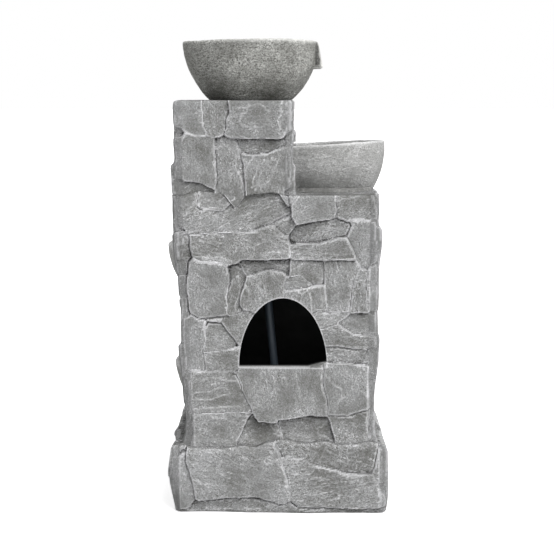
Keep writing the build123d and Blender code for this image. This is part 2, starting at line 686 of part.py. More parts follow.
def across_shaft(y):
    """Plane square to the shaft at y, looking out to the service side."""
    return Plane(origin=(PUMP_X, y, shaft_z), x_dir=(1, 0, 0), z_dir=(0, -1, 0))


with BuildPart() as pump_housing:
    with BuildSketch(across_shaft(joint_y)):
        RectangleRounded(PUMP_WIDTH, PUMP_HEIGHT, PUMP_ROUND)
    extrude(amount=-PUMP_DEPTH)
    with BuildSketch(across_shaft(joint_y)):
        Circle(WELL_RADIUS)
    extrude(amount=-WELL_DEPTH, mode=Mode.SUBTRACT)
    with BuildSketch(across_shaft(well_end)):
        Circle(BUSH_RADIUS + FIT_GAP)
    extrude(amount=-BUSH_LENGTH, mode=Mode.SUBTRACT)
    with BuildSketch(across_shaft(joint_y)):
        Circle(SEAL_RADIUS + SEAL_SECTION)
        Circle(SEAL_RADIUS - SEAL_SECTION, mode=Mode.SUBTRACT)
    extrude(amount=-2 * SEAL_SECTION, mode=Mode.SUBTRACT)

with BuildPart() as volute_seal:
    with BuildSketch(Plane(origin=(PUMP_X, joint_y + SEAL_SECTION, shaft_z), z_dir=(0, 0, 1))):
        with Locations((SEAL_RADIUS, 0)):
            Circle(SEAL_SECTION - FIT_GAP)
    revolve(axis=Axis((PUMP_X, joint_y, shaft_z), (0, 1, 0)))

with BuildPart() as pump_volute:
    with BuildSketch(across_shaft(joint_y)):
        RectangleRounded(PUMP_WIDTH, PUMP_HEIGHT, PUMP_ROUND)
    extrude(amount=VOLUTE_DEPTH)
    with BuildSketch(across_shaft(volute_y)):
        RectangleRounded(
            PUMP_WIDTH - 2 * STRAINER_WALL - 2 * SLIDE_GAP,
            PUMP_HEIGHT - 2 * STRAINER_WALL - 2 * SLIDE_GAP,
            PUMP_ROUND - STRAINER_WALL,
        )
    extrude(amount=SPIGOT_DEPTH)
    with BuildSketch(Plane(origin=(PUMP_X + OUTLET_X, outlet_y, pump_high))):
        Circle(HOSE_BORE - FIT_GAP)
    extrude(amount=OUTLET_LENGTH)
    with BuildSketch(across_shaft(joint_y)):
        Circle(CHAMBER_RADIUS)
    extrude(amount=CHAMBER_DEPTH, mode=Mode.SUBTRACT)
    with BuildSketch(across_shaft(chamber_y)):
        Circle(INLET_RADIUS)
        Circle(SPIDER_HUB, mode=Mode.SUBTRACT)
        Rectangle(2 * INLET_RADIUS, SPIDER_WIDTH, mode=Mode.SUBTRACT)
        Rectangle(SPIDER_WIDTH, 2 * INLET_RADIUS, mode=Mode.SUBTRACT)
    extrude(amount=VOLUTE_WALL + SPIGOT_DEPTH, mode=Mode.SUBTRACT)
    with BuildSketch(across_shaft(chamber_y)):
        Circle(BUSH_RADIUS + FIT_GAP)
    extrude(amount=BUSH_LENGTH, mode=Mode.SUBTRACT)
    with BuildSketch(Plane(origin=(PUMP_X + OUTLET_X, outlet_y, pump_high + OUTLET_LENGTH))):
        Circle(OUTLET_BORE)
    extrude(amount=-OUTLET_LENGTH - PUMP_HEIGHT / 2 + OUTLET_X, mode=Mode.SUBTRACT)

with BuildPart() as rear_bush:
    with BuildSketch(across_shaft(well_end)):
        Circle(BUSH_RADIUS)
        Circle(SHAFT_RADIUS + FIT_GAP, mode=Mode.SUBTRACT)
    extrude(amount=-BUSH_LENGTH)

with BuildPart() as front_bush:
    with BuildSketch(across_shaft(chamber_y)):
        Circle(BUSH_RADIUS)
        Circle(SHAFT_RADIUS + FIT_GAP, mode=Mode.SUBTRACT)
    extrude(amount=BUSH_LENGTH)

with BuildPart() as rotor_shaft:
    with BuildSketch(across_shaft(well_end + BUSH_LENGTH)):
        Circle(SHAFT_RADIUS)
    extrude(amount=WELL_DEPTH + 2 * BUSH_LENGTH + CHAMBER_DEPTH)

magnet_front = joint_y + (WELL_DEPTH - MAGNET_LENGTH) / 2
with BuildPart() as rotor_magnet:
    with BuildSketch(across_shaft(magnet_front)):
        Circle(MAGNET_RADIUS)
        Circle(SHAFT_RADIUS + RUN_GAP, mode=Mode.SUBTRACT)
    extrude(amount=-MAGNET_LENGTH)

disc_front = joint_y - (CHAMBER_DEPTH - BLADE_HEIGHT) / 2
with BuildPart() as impeller:
    with BuildSketch(across_shaft(magnet_front)):
        Circle(IMPELLER_HUB)
        Circle(SHAFT_RADIUS + RUN_GAP, mode=Mode.SUBTRACT)
    extrude(amount=magnet_front - disc_front)
    with BuildSketch(across_shaft(disc_front + IMPELLER_DISC)):
        Circle(IMPELLER_RADIUS)
        Circle(SHAFT_RADIUS + RUN_GAP, mode=Mode.SUBTRACT)
    extrude(amount=IMPELLER_DISC)
    with BuildSketch(across_shaft(disc_front)):
        with PolarLocations((IMPELLER_RADIUS + 2 * SHAFT_RADIUS) / 2, BLADE_COUNT):
            Rectangle(IMPELLER_RADIUS - 3 * SHAFT_RADIUS, BLADE_THICK)
    extrude(amount=BLADE_HEIGHT)

with BuildPart() as strainer_cover:
    with BuildSketch(across_shaft(volute_y)):
        RectangleRounded(PUMP_WIDTH, PUMP_HEIGHT, PUMP_ROUND)
    extrude(amount=STRAINER_DEPTH)
    with BuildSketch(across_shaft(volute_y)):
        RectangleRounded(
            PUMP_WIDTH - 2 * STRAINER_WALL, PUMP_HEIGHT - 2 * STRAINER_WALL, PUMP_ROUND - STRAINER_WALL
        )
    extrude(amount=STRAINER_DEPTH - STRAINER_WALL, mode=Mode.SUBTRACT)
    with BuildSketch(across_shaft(strainer_y)):
        for side in (-1, 1):
            first = DIAL_RADIUS + SLOT_WIDTH / 2
            with Locations([(side * (first + i * SLOT_PITCH), 0) for i in range(SLOT_COUNT)]):
                SlotOverall(SLOT_HEIGHT, SLOT_WIDTH, rotation=90)
        Circle(DIAL_STEM + RUN_GAP)
    extrude(amount=-STRAINER_WALL, mode=Mode.SUBTRACT)

with BuildPart() as flow_dial:
    with BuildSketch(across_shaft(strainer_y - SLIDE_GAP)):
        Circle(DIAL_RADIUS)
    extrude(amount=DIAL_HEIGHT)
    with BuildSketch(across_shaft(strainer_y - SLIDE_GAP - DIAL_HEIGHT)):
        Rectangle(DIAL_GRIP_WIDTH, DIAL_GRIP_LENGTH)
    extrude(amount=DIAL_GRIP_HEIGHT)
    with BuildSketch(across_shaft(strainer_y - SLIDE_GAP)):
        Circle(DIAL_STEM)
    extrude(amount=-STRAINER_WALL - 2 * SLIDE_GAP)
    with BuildSketch(across_shaft(strainer_y + STRAINER_WALL + SLIDE_GAP)):
        Circle(DIAL_HEAD)
    extrude(amount=-STRAINER_WALL)

with BuildPart() as suction_feet:
    with BuildSketch(Plane(origin=(PUMP_X, PUMP_Y, TANK_FLOOR))):
        with GridLocations(PUMP_WIDTH - 2 * CUP_RADIUS, PUMP_DEPTH - 2 * CUP_RADIUS, 2, 2):
            Circle(CUP_RADIUS)
    extrude(amount=CUP_THICK)
    with BuildSketch(Plane(origin=(PUMP_X, PUMP_Y, TANK_FLOOR))):
        with GridLocations(PUMP_WIDTH - 2 * CUP_RADIUS, PUMP_DEPTH - 2 * CUP_RADIUS, 2, 2):
            Circle(CUP_STEM)
    extrude(amount=FOOT_HEIGHT)

with BuildPart() as cable_gland:
    with BuildSketch(across_shaft(motor_back)):
        with Locations((0, GLAND_HEIGHT - PUMP_HEIGHT / 2)):
            Circle(GLAND_RADIUS)
    extrude(amount=-GLAND_LENGTH)
    with BuildSketch(across_shaft(motor_back + GLAND_LENGTH)):
        with Locations((0, GLAND_HEIGHT - PUMP_HEIGHT / 2)):
            Circle(GLAND_BORE)
    extrude(amount=GLAND_LENGTH - GLAND_FLOOR, mode=Mode.SUBTRACT)

# Riser hose: off the outlet, leaning across behind the arch, then upright through the deck
hose_low = pump_high + 2 * FIT_GAP
with BuildPart() as riser_hose:
    with BuildLine() as route:
        FilletPolyline(
            (PUMP_X + OUTLET_X, outlet_y, hose_low),
            (PUMP_X + OUTLET_X, outlet_y, HOSE_LEAN_Z),
            (HOSE_SWAY_X, (outlet_y + TOP_BOWL["y"]) / 2, HOSE_SWAY_Z),
            (TOP_BOWL["x"], TOP_BOWL["y"], HOSE_UPRIGHT_Z),
            (TOP_BOWL["x"], TOP_BOWL["y"], HOSE_TOP),
            radius=HOSE_BENDS,
        )
    with BuildSketch(Plane(origin=route.line @ 0, z_dir=route.line % 0)):
        Circle(HOSE_RADIUS)
        Circle(HOSE_BORE, mode=Mode.SUBTRACT)
    sweep()

nodes = {
    "tower_core": tower_core,
    "tower_stone_face": tower_stone_face,
    "plinth_tank": plinth_tank,
    "plinth_stone_face": plinth_stone_face,
    "top_bowl": top_bowl,
    "right_bowl": right_bowl,
    "left_bowl": left_bowl,
    "basin_bowl": basin_bowl,
    "right_bowl_bedding": right_bowl_bedding,
    "basin_bedding": basin_bedding,
    "left_bowl_corbel": left_bowl_corbel,
    "bowl_grommet": bowl_grommet,
    "return_standpipe": return_standpipe,
    "riser_hose": riser_hose,
    "pump_housing": pump_housing,
    "pump_volute": pump_volute,
    "volute_seal": volute_seal,
    "strainer_cover": strainer_cover,
    "flow_dial": flow_dial,
    "rotor_magnet": rotor_magnet,
    "impeller": impeller,
    "rotor_shaft": rotor_shaft,
    "rear_bush": rear_bush,
    "front_bush": front_bush,
    "suction_feet": suction_feet,
    "cable_gland": cable_gland,
}
os.makedirs("parts", exist_ok=True)
for name, node in nodes.items():
    node.part.label = name
    export_step(node.part, f"parts/{name}.step")
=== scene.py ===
import math

import bmesh
import bpy
import numpy as np
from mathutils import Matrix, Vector
from mathutils.bvhtree import BVHTree


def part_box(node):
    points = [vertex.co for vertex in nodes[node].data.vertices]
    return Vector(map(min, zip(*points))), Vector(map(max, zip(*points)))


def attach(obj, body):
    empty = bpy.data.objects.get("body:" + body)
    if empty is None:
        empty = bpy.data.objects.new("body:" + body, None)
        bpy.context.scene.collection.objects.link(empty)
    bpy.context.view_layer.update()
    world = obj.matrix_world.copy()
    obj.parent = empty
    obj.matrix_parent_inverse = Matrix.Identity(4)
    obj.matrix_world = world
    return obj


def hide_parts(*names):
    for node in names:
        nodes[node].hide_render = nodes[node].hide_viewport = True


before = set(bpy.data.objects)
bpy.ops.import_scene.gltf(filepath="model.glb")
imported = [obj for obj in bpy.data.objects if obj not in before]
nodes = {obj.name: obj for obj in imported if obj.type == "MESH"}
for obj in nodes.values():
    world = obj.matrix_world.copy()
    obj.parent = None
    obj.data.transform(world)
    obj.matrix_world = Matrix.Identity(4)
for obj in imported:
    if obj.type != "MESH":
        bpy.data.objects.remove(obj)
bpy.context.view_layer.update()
scene = bpy.context.scene

MM = 0.001

# Camera, as read off the photograph: square frame, lens in pixels of that frame, looking along +Y and down
FRAME_PX = 554
LENS_PX = 1204
SENSOR_MM = 36
CAMERA_PITCH_DEG = 8.6
CAMERA_PLACE_MM = (-4.4, -2257, 744.5)

# Floor, metres from its middle to each edge
FLOOR_REACH = 60

# Grid of the stone walls, mm between points, with steps round each corner and the cells that its wear
# reaches, and rows across each top that crowd towards its rim
GRID_REAR = 1.4
GRID_SIDE = 3.2
GRID_UP = 1.8
CORNER_RADIUS = 10
CORNER_STEPS = 12
CORNER_CELLS = 6
CAP_ROWS = 14
CAP_CROWDING = 1.5

# Height in mm at which the tower's skin is parted in two, so that neither piece has too many triangles
PARTING_Z = 402

# Feeling for the stones, lengths in mm: where rays start, how outlines wander (size and reach of each layer),
# what counts as bare wall or as a lip, and in grid cells how wide a footprint is and how far gaps are filled
CAST_FROM = 45
WANDER = ((26, 2.4), (8, 1.1))
WALL_END = 0.6
BARE_WALL = 1.4
FOOTPRINT_CELLS = 11
PLINTH_FOOTPRINT_CELLS = 40
ARCH_FILL_CELLS = 90
LIP_STEP = 0.3

# Faces of the stones, lengths in mm: how far each stands out and leans, how it swells, splits and flakes
PROUD_USUAL = 6
PROUD_GAIN = 0.65
STONE_TILT = 0.075
TILT_REACH = 60
SWELL_SIZE = 55
SWELL_HEIGHT = 1.6
STONES_APART = 37.0
GRAIN_TURN = 0.35
RIVEN_BY_CHANCE = 0.4
RIVEN_ALONG = 28
RIVEN_ACROSS = 6.5
RIB_HEIGHT = 0.3
RIB_HEIGHT_RIVEN = 1.0
FLAKE_SIZES = (50, 30)
FLAKE_COUNT = 1.6
FLAKE_DRAWN_OUT = 0.6
FLAKE_FROM = 0.4
FLAKE_OVER = 0.2
FLAKE_CLIMB = (0.02, 0.3)
FLAKE_STEP = 1.1
GRIT_SIZE = 6
GRIT_HEIGHT = 0.3

# Edges of the stones, lengths in mm: chips off them, cracks between them, with where in the noise they begin
# and over what stretch they grow, and how far the corners of the walls are worn
CHIP_SIZE = 13
CHIP_DEPTH = 1.8
CHIP_GROWTH = (0.05, 0.25)
CRACK_SIZE = 60
CRACK_LEAST = 0.1
CRACK_MORE = 1.9
CRACK_GROWTH = (0.05, 0.5)
CORNER_WEAR = 0.8

# Paint on the stones, lengths in mm: patches of the dry brush, strength on lips, ridges, flakes and of the
# painted shadow in joints under steps, and for each growth where it begins and over what stretch, also the
# growth of painted shade in hollows; and the uneven darkening of tops
BRUSH_PATCH = 20
BRUSH_GROWTH = (-0.3, 0.5)
LIP_PALE = 1.2
RIDGE_PALE = 0.7
RIDGE_GROWTH = (0.03, 0.12)
FLAKE_PALE = 0.4
CORNER_PALE = 0.1
STEP_SHADOW_DARK = 0.95
STEP_SHADOW_GROWTH = (0.2, 0.8)
HOLLOW_SHADE_GROWTH = (1.0, 3.0)
ARCH_LIP_PALE = 0.8
TOP_DARKENING = 0.3
TOP_DARKENING_SIZE = 30

# Streaks of the split and strokes of the brush, mm; real ones are finer and are drawn coarser to show
STREAK_LONG_MM = 30
STREAK_WIDE_MM = 4.5
STROKE_LONG_MM = 3.6
STROKE_WIDE_MM = 2.2
CREASE_LONG_MM = 15
CREASE_WIDE_MM = 6

# Clouds of light and dark in the stone, mm, how much a stone's own tone and the painted shade at a bowl's
# foot count, and the colour of the painted shade in hollows and under steps, which also darkens tops and
# the spout's end
CLOUD_MM = 55
TONE_SHARE = 0.08
PAINTED_SHADE_COLOUR = "#2e2e2c"

# Bed joint between the top block and the tower, mm: how far it wanders, and where it runs out to the shelf
BED_WANDER = 16
BED_SIZE = 70
BED_REACH = 45
BED_RUN_OUT = 30

# Blocks, mm: mortar at the tower's foot, the hollow in its right side, the plinth's left side, the thinnest
# skin over a core, how far a top runs in under the block on it, and the hose's hole in the deck
FOOT_SPREAD = 9
FOOT_REACH = 26
FOOT_SIZE = 45
HOLLOW_Z = 205
HOLLOW_REACH = 75
HOLLOW_DEPTH = 7
UNDERCUT = 12
UNDERCUT_REACH = 75
LEAST_SKIN = 3
TUCKED_UNDER = 8
HOSE_HOLE_RADIUS = 11

# Rims and tops of the blocks, lengths in mm: how the plinth's rim strays, how far rims are worn round, and
# the sizes of bulges in the walls and of bumps on the tops
PLINTH_RIM_STRAY = 18
RIM_STRAY_SIZE = 80
RIM_REACH = 34
RIM_WEAR_SIZE = 50
RIM_WEAR = 0.8
BULGE_SIZE = 90
TOP_ROUGH_SIZE = 24

# Cast pieces, lengths in mm: sizes of the wobble, dents and pecks in their skin, how high an edge takes all
# the pale paint and how deep a hollow all the painted shade, how dark the spout's end is, and how dark the
# painted shade and wash on a bowl's foot are
CAST_WOBBLE_SIZE = 70
CAST_DENT_SIZE = 22
CAST_DENT_SHARE = 0.4
PECK_SIZE = 7
CAST_EDGE = 0.9
CAST_HOLLOW_SHADE = 1.5
SPOUT_END_DARK = 0.75
CAST_FOOT_SHADE_AND_WASH = -2.4
CAST_FOOT_SHARE = 0.4

# Strokes of the brush on the bowls and of the trowel on the mortar, mm along x, z and y, how far they sway
# and over what size, and where the darker end of the top spout begins
UPRIGHT_STROKES = (42, 4.2, 42)
TROWEL_STROKES = (20, 5, 20)
BRUSH_SWAY = 9
BRUSH_SWAY_SIZE = 34
SPOUT_DARK_FROM = 61
SPOUT_DARK_OVER = 5

# Bowl ends buried in the stones that they meet, mm: from what distance off the core, and how far they go in
BURY_FROM = 24
BURY_OVER = 9
BURY_BY = 7

# Service arch in the rear wall, mm, as the core has it, and the depth that is cut through the stones for it
ARCH_X = 6.2
ARCH_SILL = 265
ARCH_HALF_WIDTH = 78.3
ARCH_RISE = 125
ARCH_SILL_FLAT = 45
ARCH_START_DEG = 4
ARCH_STEPS = 60
ARCH_CUT_Y = (-230, -130)
LIP_WIDTH = 2.6


def srgb(code):
    """Linear RGBA of an sRGB hex colour."""
    parts = [int(code[i : i + 2], 16) / 255 for i in (1, 3, 5)]
    linear = [c / 12.92 if c <= 0.04045 else ((c + 0.055) / 1.055) ** 2.4 for c in parts]
    return (*linear, 1.0)


def per_mm(size):
    """Texture scale that makes one feature about size mm across, on coordinates in metres."""
    return 1 / (size * MM)


def fill(tree, node, inputs):
    """Fills inputs of a node, each with a value or with a link from a socket or a node's first output."""
    for key, value in inputs.items():
        if isinstance(value, bpy.types.Node):
            value = next(output for output in value.outputs if output.enabled)
        if isinstance(value, bpy.types.NodeSocket):
            tree.links.new(value, node.inputs[key])
        else:
            node.inputs[key].default_value = value


def add_node(tree, kind, inputs=None, **settings):
    """Adds a node with its settings, and fills its inputs."""
    node = tree.nodes.new(kind)
    for key, value in settings.items():
        setattr(node, key, value)
    fill(tree, node, inputs or {})
    return node


def chance(ix, iy, iz, seed):
    """A fixed number from -1 to 1 for each whole lattice point."""
    h = (ix * 73856093) ^ (iy * 19349663) ^ (iz * 83492791) ^ (seed * 2654435761)
    h = (h ^ (h >> 13)) * 1274126177 & 0x7FFFFFFF
    h = (h ^ (h >> 15)) * 668265263 & 0x7FFFFFFF
    return ((h >> 7) & 0xFFFF) / 32767.5 - 1


def swell(points, size, seed):
    """Smooth unevenness from -1 to 1 at points in mm, with features about size mm across."""
    p = points / size
    cell = np.floor(p).astype(np.int64)
    f = ease(p - cell)
    total = 0
    for corner in np.ndindex(2, 2, 2):
        weight = np.prod(np.where(corner, f, 1 - f), axis=-1)
        total = total + weight * chance(*np.moveaxis(cell + corner, -1, 0), seed)
    return total


def rough(points, size, seed, octaves=4, gain=0.5):
    """Layers of unevenness, each half the size of the one before."""
    weights = [gain**k for k in range(octaves)]
    layers = [w * swell(points, size / 2**k, seed + 31 * k) for k, w in enumerate(weights)]
    return sum(layers) / sum(weights)


def ease(t):
    """0 up to 0 and 1 from 1 on, with a soft start and end between."""
    t = np.clip(t, 0, 1)
    return t * t * (3 - 2 * t)


def ramp(values, start, over):
    """Eases from 0 to 1 as the values go on from start over the given stretch."""
    return ease((values - start) / over)


def moved(field, up, sideways):
    """A wall's field moved by whole rows and columns; columns run round, rows stop at the ends."""
    rows = np.clip(np.arange(field.shape[0]) + up, 0, field.shape[0] - 1)
    return np.roll(field[rows], -sideways, axis=1)


def beside(field):
    """The field as each of a cell's four neighbours has it."""
    return [moved(field, 0, 1), moved(field, 0, -1), moved(field, 1, 0), moved(field, -1, 0)]


def blurred(field, passes):
    """The field softened by a small filter, again and again."""
    for _ in range(passes):
        field = (moved(field, 0, 1) + 2 * field + moved(field, 0, -1)) / 4
        field = (moved(field, 1, 0) + 2 * field + moved(field, -1, 0)) / 4
    return field


def spread(mask, cells):
    """The mask grown by some cells on every side."""
    for _ in range(cells):
        mask = np.logical_or.reduce([mask, *beside(mask)])
    return mask


# Stacked stone walls


def facing_faces(node):
    """Ray tree of a facing, and for each of its triangles the number of the stone face it is on."""
    mesh = nodes[node].data
    mesh.calc_loop_triangles()
    corners = np.array([t.vertices[:] for t in mesh.loop_triangles])
    face = np.arange(len(mesh.vertices))
    while True:
        lowest = face.copy()
        np.minimum.at(lowest, corners.ravel(), np.repeat(face[corners].min(1), 3))
        lowest = lowest[lowest]
        if (lowest == face).all():
            break
        face = lowest
    tree = BVHTree.FromPolygons([v.co[:] for v in mesh.vertices], corners.tolist())
    return tree, face[corners[:, 0]]


def wall_columns(width, depth):
    """Columns round a block from its rear left corner: shares across and along it, and wall normals."""
    columns = []
    walls = [
        ((0, 0), (1, 0), (0, -1), width, GRID_REAR),
        ((1, 0), (1, 1), (1, 0), depth, GRID_SIDE),
        ((1, 1), (0, 1), (0, 1), width, GRID_SIDE),
        ((0, 1), (0, 0), (-1, 0), depth, GRID_SIDE),
    ]
    for start, end, normal, length, step in walls:
        count = int((length - 2 * CORNER_RADIUS) / step)
        for share in np.arange(count) / count:
            columns.append((*(np.array(start) * (1 - share) + np.array(end) * share), *normal))
        facing = math.atan2(normal[1], normal[0])
        for turn in np.arange(CORNER_STEPS) / CORNER_STEPS * math.pi / 2:
            columns.append((*end, math.cos(facing + turn), math.sin(facing + turn)))
    return np.array(columns).T


def block_outline(sides, columns):
    """XY in mm of every column on a round-cornered block with the given left, right, rear and front."""
    left, right, rear, front = (np.asarray(side, float)[..., None] for side in sides)
    across, along, nx, ny = columns
    x = left + CORNER_RADIUS + (right - left - 2 * CORNER_RADIUS) * across + CORNER_RADIUS * nx
    y = rear + CORNER_RADIUS + (front - rear - 2 * CORNER_RADIUS) * along + CORNER_RADIUS * ny
    return np.stack(np.broadcast_arrays(x, y), -1)


def feel_stones(tree, faces, wall, out, along, shift, seed, bare_cells):
    """Proud height and stone at each wall point, where outlines wander and joints go to the next stone."""
    place = wall.copy()
    for k, direction in enumerate((along, np.array((0, 0, 1.0)))):
        wander = [reach * swell(wall, size, seed + 7 * k + j) for j, (size, reach) in enumerate(WANDER)]
        place = place + (shift[k] + sum(wander))[..., None] * direction
    place[..., 2] = np.clip(place[..., 2], wall[0, 0, 2] + WALL_END, wall[-1, 0, 2] - WALL_END)
    starts = ((place + out * CAST_FROM) * MM).reshape(-1, 3).tolist()
    inward = (-out).reshape(-1, 3).tolist()
    proud, stone = [], []
    for start, direction in zip(starts, inward):
        _, _, triangle, distance = tree.ray_cast(start, direction, 2 * CAST_FROM * MM)
        proud.append(0 if triangle is None else CAST_FROM - distance / MM)
        stone.append(-1 if triangle is None else faces[triangle])
    proud = np.reshape(proud, wall.shape[:2])
    stone = np.reshape(stone, wall.shape[:2])
    bare = (stone >= 0) & (proud < BARE_WALL)
    footprint = spread(~spread(~bare, bare_cells), bare_cells) & bare
    stone = np.where(footprint, -2, np.where(bare, -1, stone))
    for _ in range(ARCH_FILL_CELLS):
        if not (stone == -1).any():
            break
        for near_stone, near_proud in zip(beside(stone), beside(proud)):
            take = (stone == -1) & (near_stone >= 0)
            stone = np.where(take, near_stone, stone)
            proud = np.where(take, near_proud, proud)
    return np.maximum(proud, BARE_WALL), stone


def feel_wall(wall, out, along, tree, faces, seed, bare_cells):
    """Nine soundings round each wall point: mean proud height, the stones of the last one, and what share of
    them is at a joint, at the lip of a stone or in the shadow of one."""
    proud = joint = lip = shadow = 0
    offsets = (-GRID_UP / 3, 0, GRID_UP / 3)
    shifts = [(sideways, up) for sideways in offsets for up in offsets]
    for shift in shifts:
        felt, stone = feel_stones(tree, faces, wall, out, along, shift, seed, bare_cells)
        proud = proud + felt / len(shifts)
        changes = np.array([stone != near for near in beside(stone)])
        steps = np.array([felt - near for near in beside(felt)])
        joint = joint + np.logical_or(changes[0], changes[2]) / len(shifts)
        lip = lip + (changes & (steps > -LIP_STEP)).any(0) / len(shifts)
        shadow = shadow + (changes & (steps < -LIP_STEP)).any(0) / len(shifts)
    return proud, stone, joint, lip, shadow


def each_stone(wall, along, stone, seed):
    """What each stone has of its own: tone, lean, how riven and how flaky it is, and places on its grain."""
    names, which = np.unique(stone, return_inverse=True)
    which = which.reshape(stone.shape)
    size = np.bincount(which.ravel())
    u, z = (wall * along).sum(-1), wall[..., 2]
    middle_u, middle_z = (np.bincount(which.ravel(), a.ravel()) / size for a in (u, z))
    du, dz = u - middle_u[which], z - middle_z[which]
    wide, tall = (np.sqrt(np.bincount(which.ravel(), (d**2).ravel()) / size)[which] for d in (du, dz))
    lots = [chance(names, names * 0 + k, names * 0, seed) for k in range(6)]
    tone, riven, turn, lean_u, lean_z, flaky = (lot[which] for lot in lots)
    lean = STONE_TILT * np.clip(lean_u * du + lean_z * dz, -TILT_REACH, TILT_REACH)
    stretch = ease(2 * abs(wide - tall) / np.maximum(wide + tall, 1))
    riven = RIVEN_BY_CHANCE * (riven + 1) / 2 + (1 - RIVEN_BY_CHANCE) * stretch
    turn = turn * GRAIN_TURN + np.where(tall > wide, math.pi / 2, 0)
    run = np.cos(turn) * du + np.sin(turn) * dz
    over = np.cos(turn) * dz - np.sin(turn) * du
    return tone, lean, riven, (flaky + 1) / 2, np.stack([run, over, which * STONES_APART], -1)


def split_faces(grain, riven, flaky, seed):
    """Ribs and flaked sheets on the stones' faces, and the edges where a sheet has come away."""
    ribs = rough(grain * (RIVEN_ACROSS / RIVEN_ALONG, 1, 1), RIVEN_ACROSS, seed + 3)
    sheets = grain * (FLAKE_DRAWN_OUT, 1, 1)
    level = FLAKE_COUNT * swell(sheets, FLAKE_SIZES[0], seed + 5) + rough(sheets, FLAKE_SIZES[1], seed + 6)
    sheet = level - np.floor(level)
    flakes = np.floor(level) + ramp(sheet, FLAKE_FROM, FLAKE_OVER)
    climb = np.clip(np.max([abs(near - level) for near in beside(level)], axis=0), *FLAKE_CLIMB)
    flake_edge = np.clip(1 - abs(sheet - FLAKE_FROM - FLAKE_OVER) / climb, 0, 1) * (0.15 + 0.85 * flaky)
    relief = FLAKE_STEP * flakes * (0.25 + 0.75 * flaky) + (RIB_HEIGHT + RIB_HEIGHT_RIVEN * riven**2) * ribs
    return relief, flake_edge


def split_stones(wall, out, along, tree, faces, seed, bare_cells):
    """Relief of split and weathered stones over the plain wall, pale paint on edges, and painted shade in
    hollows and under steps.
    """
    proud, stone, joint, lip, shadow = feel_wall(wall, out, along, tree, faces, seed, bare_cells)
    tone, lean, riven, flaky, grain = each_stone(wall, along, stone, seed)
    split, flake_edge = split_faces(grain, riven, flaky, seed)
    gain = PROUD_GAIN * abs(out[..., 1])
    body = proud + gain * (proud - PROUD_USUAL) + lean + split
    body = body + SWELL_HEIGHT * swell(wall, SWELL_SIZE, seed + 8)
    near_joint = np.clip(2.4 * blurred(joint, 4), 0, 1)
    chips = CHIP_DEPTH * ramp(rough(wall, CHIP_SIZE, seed + 9), *CHIP_GROWTH) * near_joint
    crack = np.clip(1.5 * blurred(joint, 1), 0, 1)
    deep = CRACK_LEAST + CRACK_MORE * ramp(swell(wall, CRACK_SIZE, seed + 11), *CRACK_GROWTH)
    corner = blurred(np.where(abs(out[..., 0] * out[..., 1]) > 0.01, 1.0, 0.0), CORNER_CELLS)
    corner = CORNER_WEAR * ease(1.2 * corner)
    body = body - (chips + crack * deep) * (1 - corner) + GRIT_HEIGHT * rough(wall, GRIT_SIZE, seed + 13, 3)
    body = body + (blurred(body, 2 * CORNER_CELLS) - body) * corner
    raised = body - blurred(body, 1)
    sunk = blurred(body, 12) - body
    brushed = 0.5 + 0.5 * ramp(rough(wall, BRUSH_PATCH, seed + 15, 3), *BRUSH_GROWTH)
    lip = ease(1.5 * lip - 0.35) * (1 - corner)
    # Painted shadow: a dark line along the lower side of each step between stones
    line = ease(1.5 * shadow - 0.2) * (0.4 + 0.6 * ramp(deep, *STEP_SHADOW_GROWTH)) * (1 - corner)
    ridge = np.maximum(RIDGE_PALE * ramp(raised, *RIDGE_GROWTH), FLAKE_PALE * flake_edge)
    paint = {
        "pale_edge": np.maximum.reduce([LIP_PALE * lip, ridge, CORNER_PALE * corner]) * brushed,
        # Dark paint: painted shade in the hollows, and the painted shadow along the steps
        "painted_shade_and_darkening": np.maximum(ramp(sunk, *HOLLOW_SHADE_GROWTH), STEP_SHADOW_DARK * line),
        "tone_and_foot_shade": tone,
        "stone_riven": riven**2,
        "split_grain": grain,
    }
    return body, paint


def set_paint(mesh, paint):
    """Keeps each kind of paint as a value, or three, per point of the mesh."""
    for key, values in paint.items():
        kind, field = ("FLOAT_VECTOR", "vector") if values.ndim > 1 else ("FLOAT", "value")
        mesh.attributes.new(key, kind, "POINT").data.foreach_set(field, values.astype(np.float32).ravel())


def mesh_piece(name, points, faces, paint):
    """Object from points in mm, with a value per point for each kind of paint."""
    mesh = bpy.data.meshes.new(name)
    mesh.from_pydata((np.asarray(points) * MM).tolist(), [], np.asarray(faces).tolist())
    set_paint(mesh, paint)
    piece = bpy.data.objects.new(name, mesh)
    scene.collection.objects.link(piece)
    return piece


def ring_piece(name, layers, paint):
    """Joins rows of points that run round a block, each to the next and the last to the first."""
    rows, count = layers.shape[:2]
    r, c = np.indices((rows, count))
    r2, c2 = (r + 1) % rows, (c + 1) % count
    faces = np.stack([r * count + c, r * count + c2, r2 * count + c2, r2 * count + c], -1)
    paint = {key: value.reshape(rows * count, -1).squeeze() for key, value in paint.items()}
    return mesh_piece(name, layers.reshape(-1, 3), faces.reshape(-1, 4), paint)


def parted(name, layers, paint, row, ledge):
    """A skin as two pieces that meet at one row of its wall, closed there by a ledge in to the core."""
    lower = list(range(row + 1)), [len(layers) - 1]
    upper = list(range(row, len(layers) - 1)), []
    pieces = []
    for part, (first, last) in (("_lower", lower), ("_upper", upper)):
        keep = [*first, first[-1], *last]
        points = layers[keep]
        points[len(first)] = ledge
        pieces.append(ring_piece(name + part, points, {key: value[keep] for key, value in paint.items()}))
    return pieces


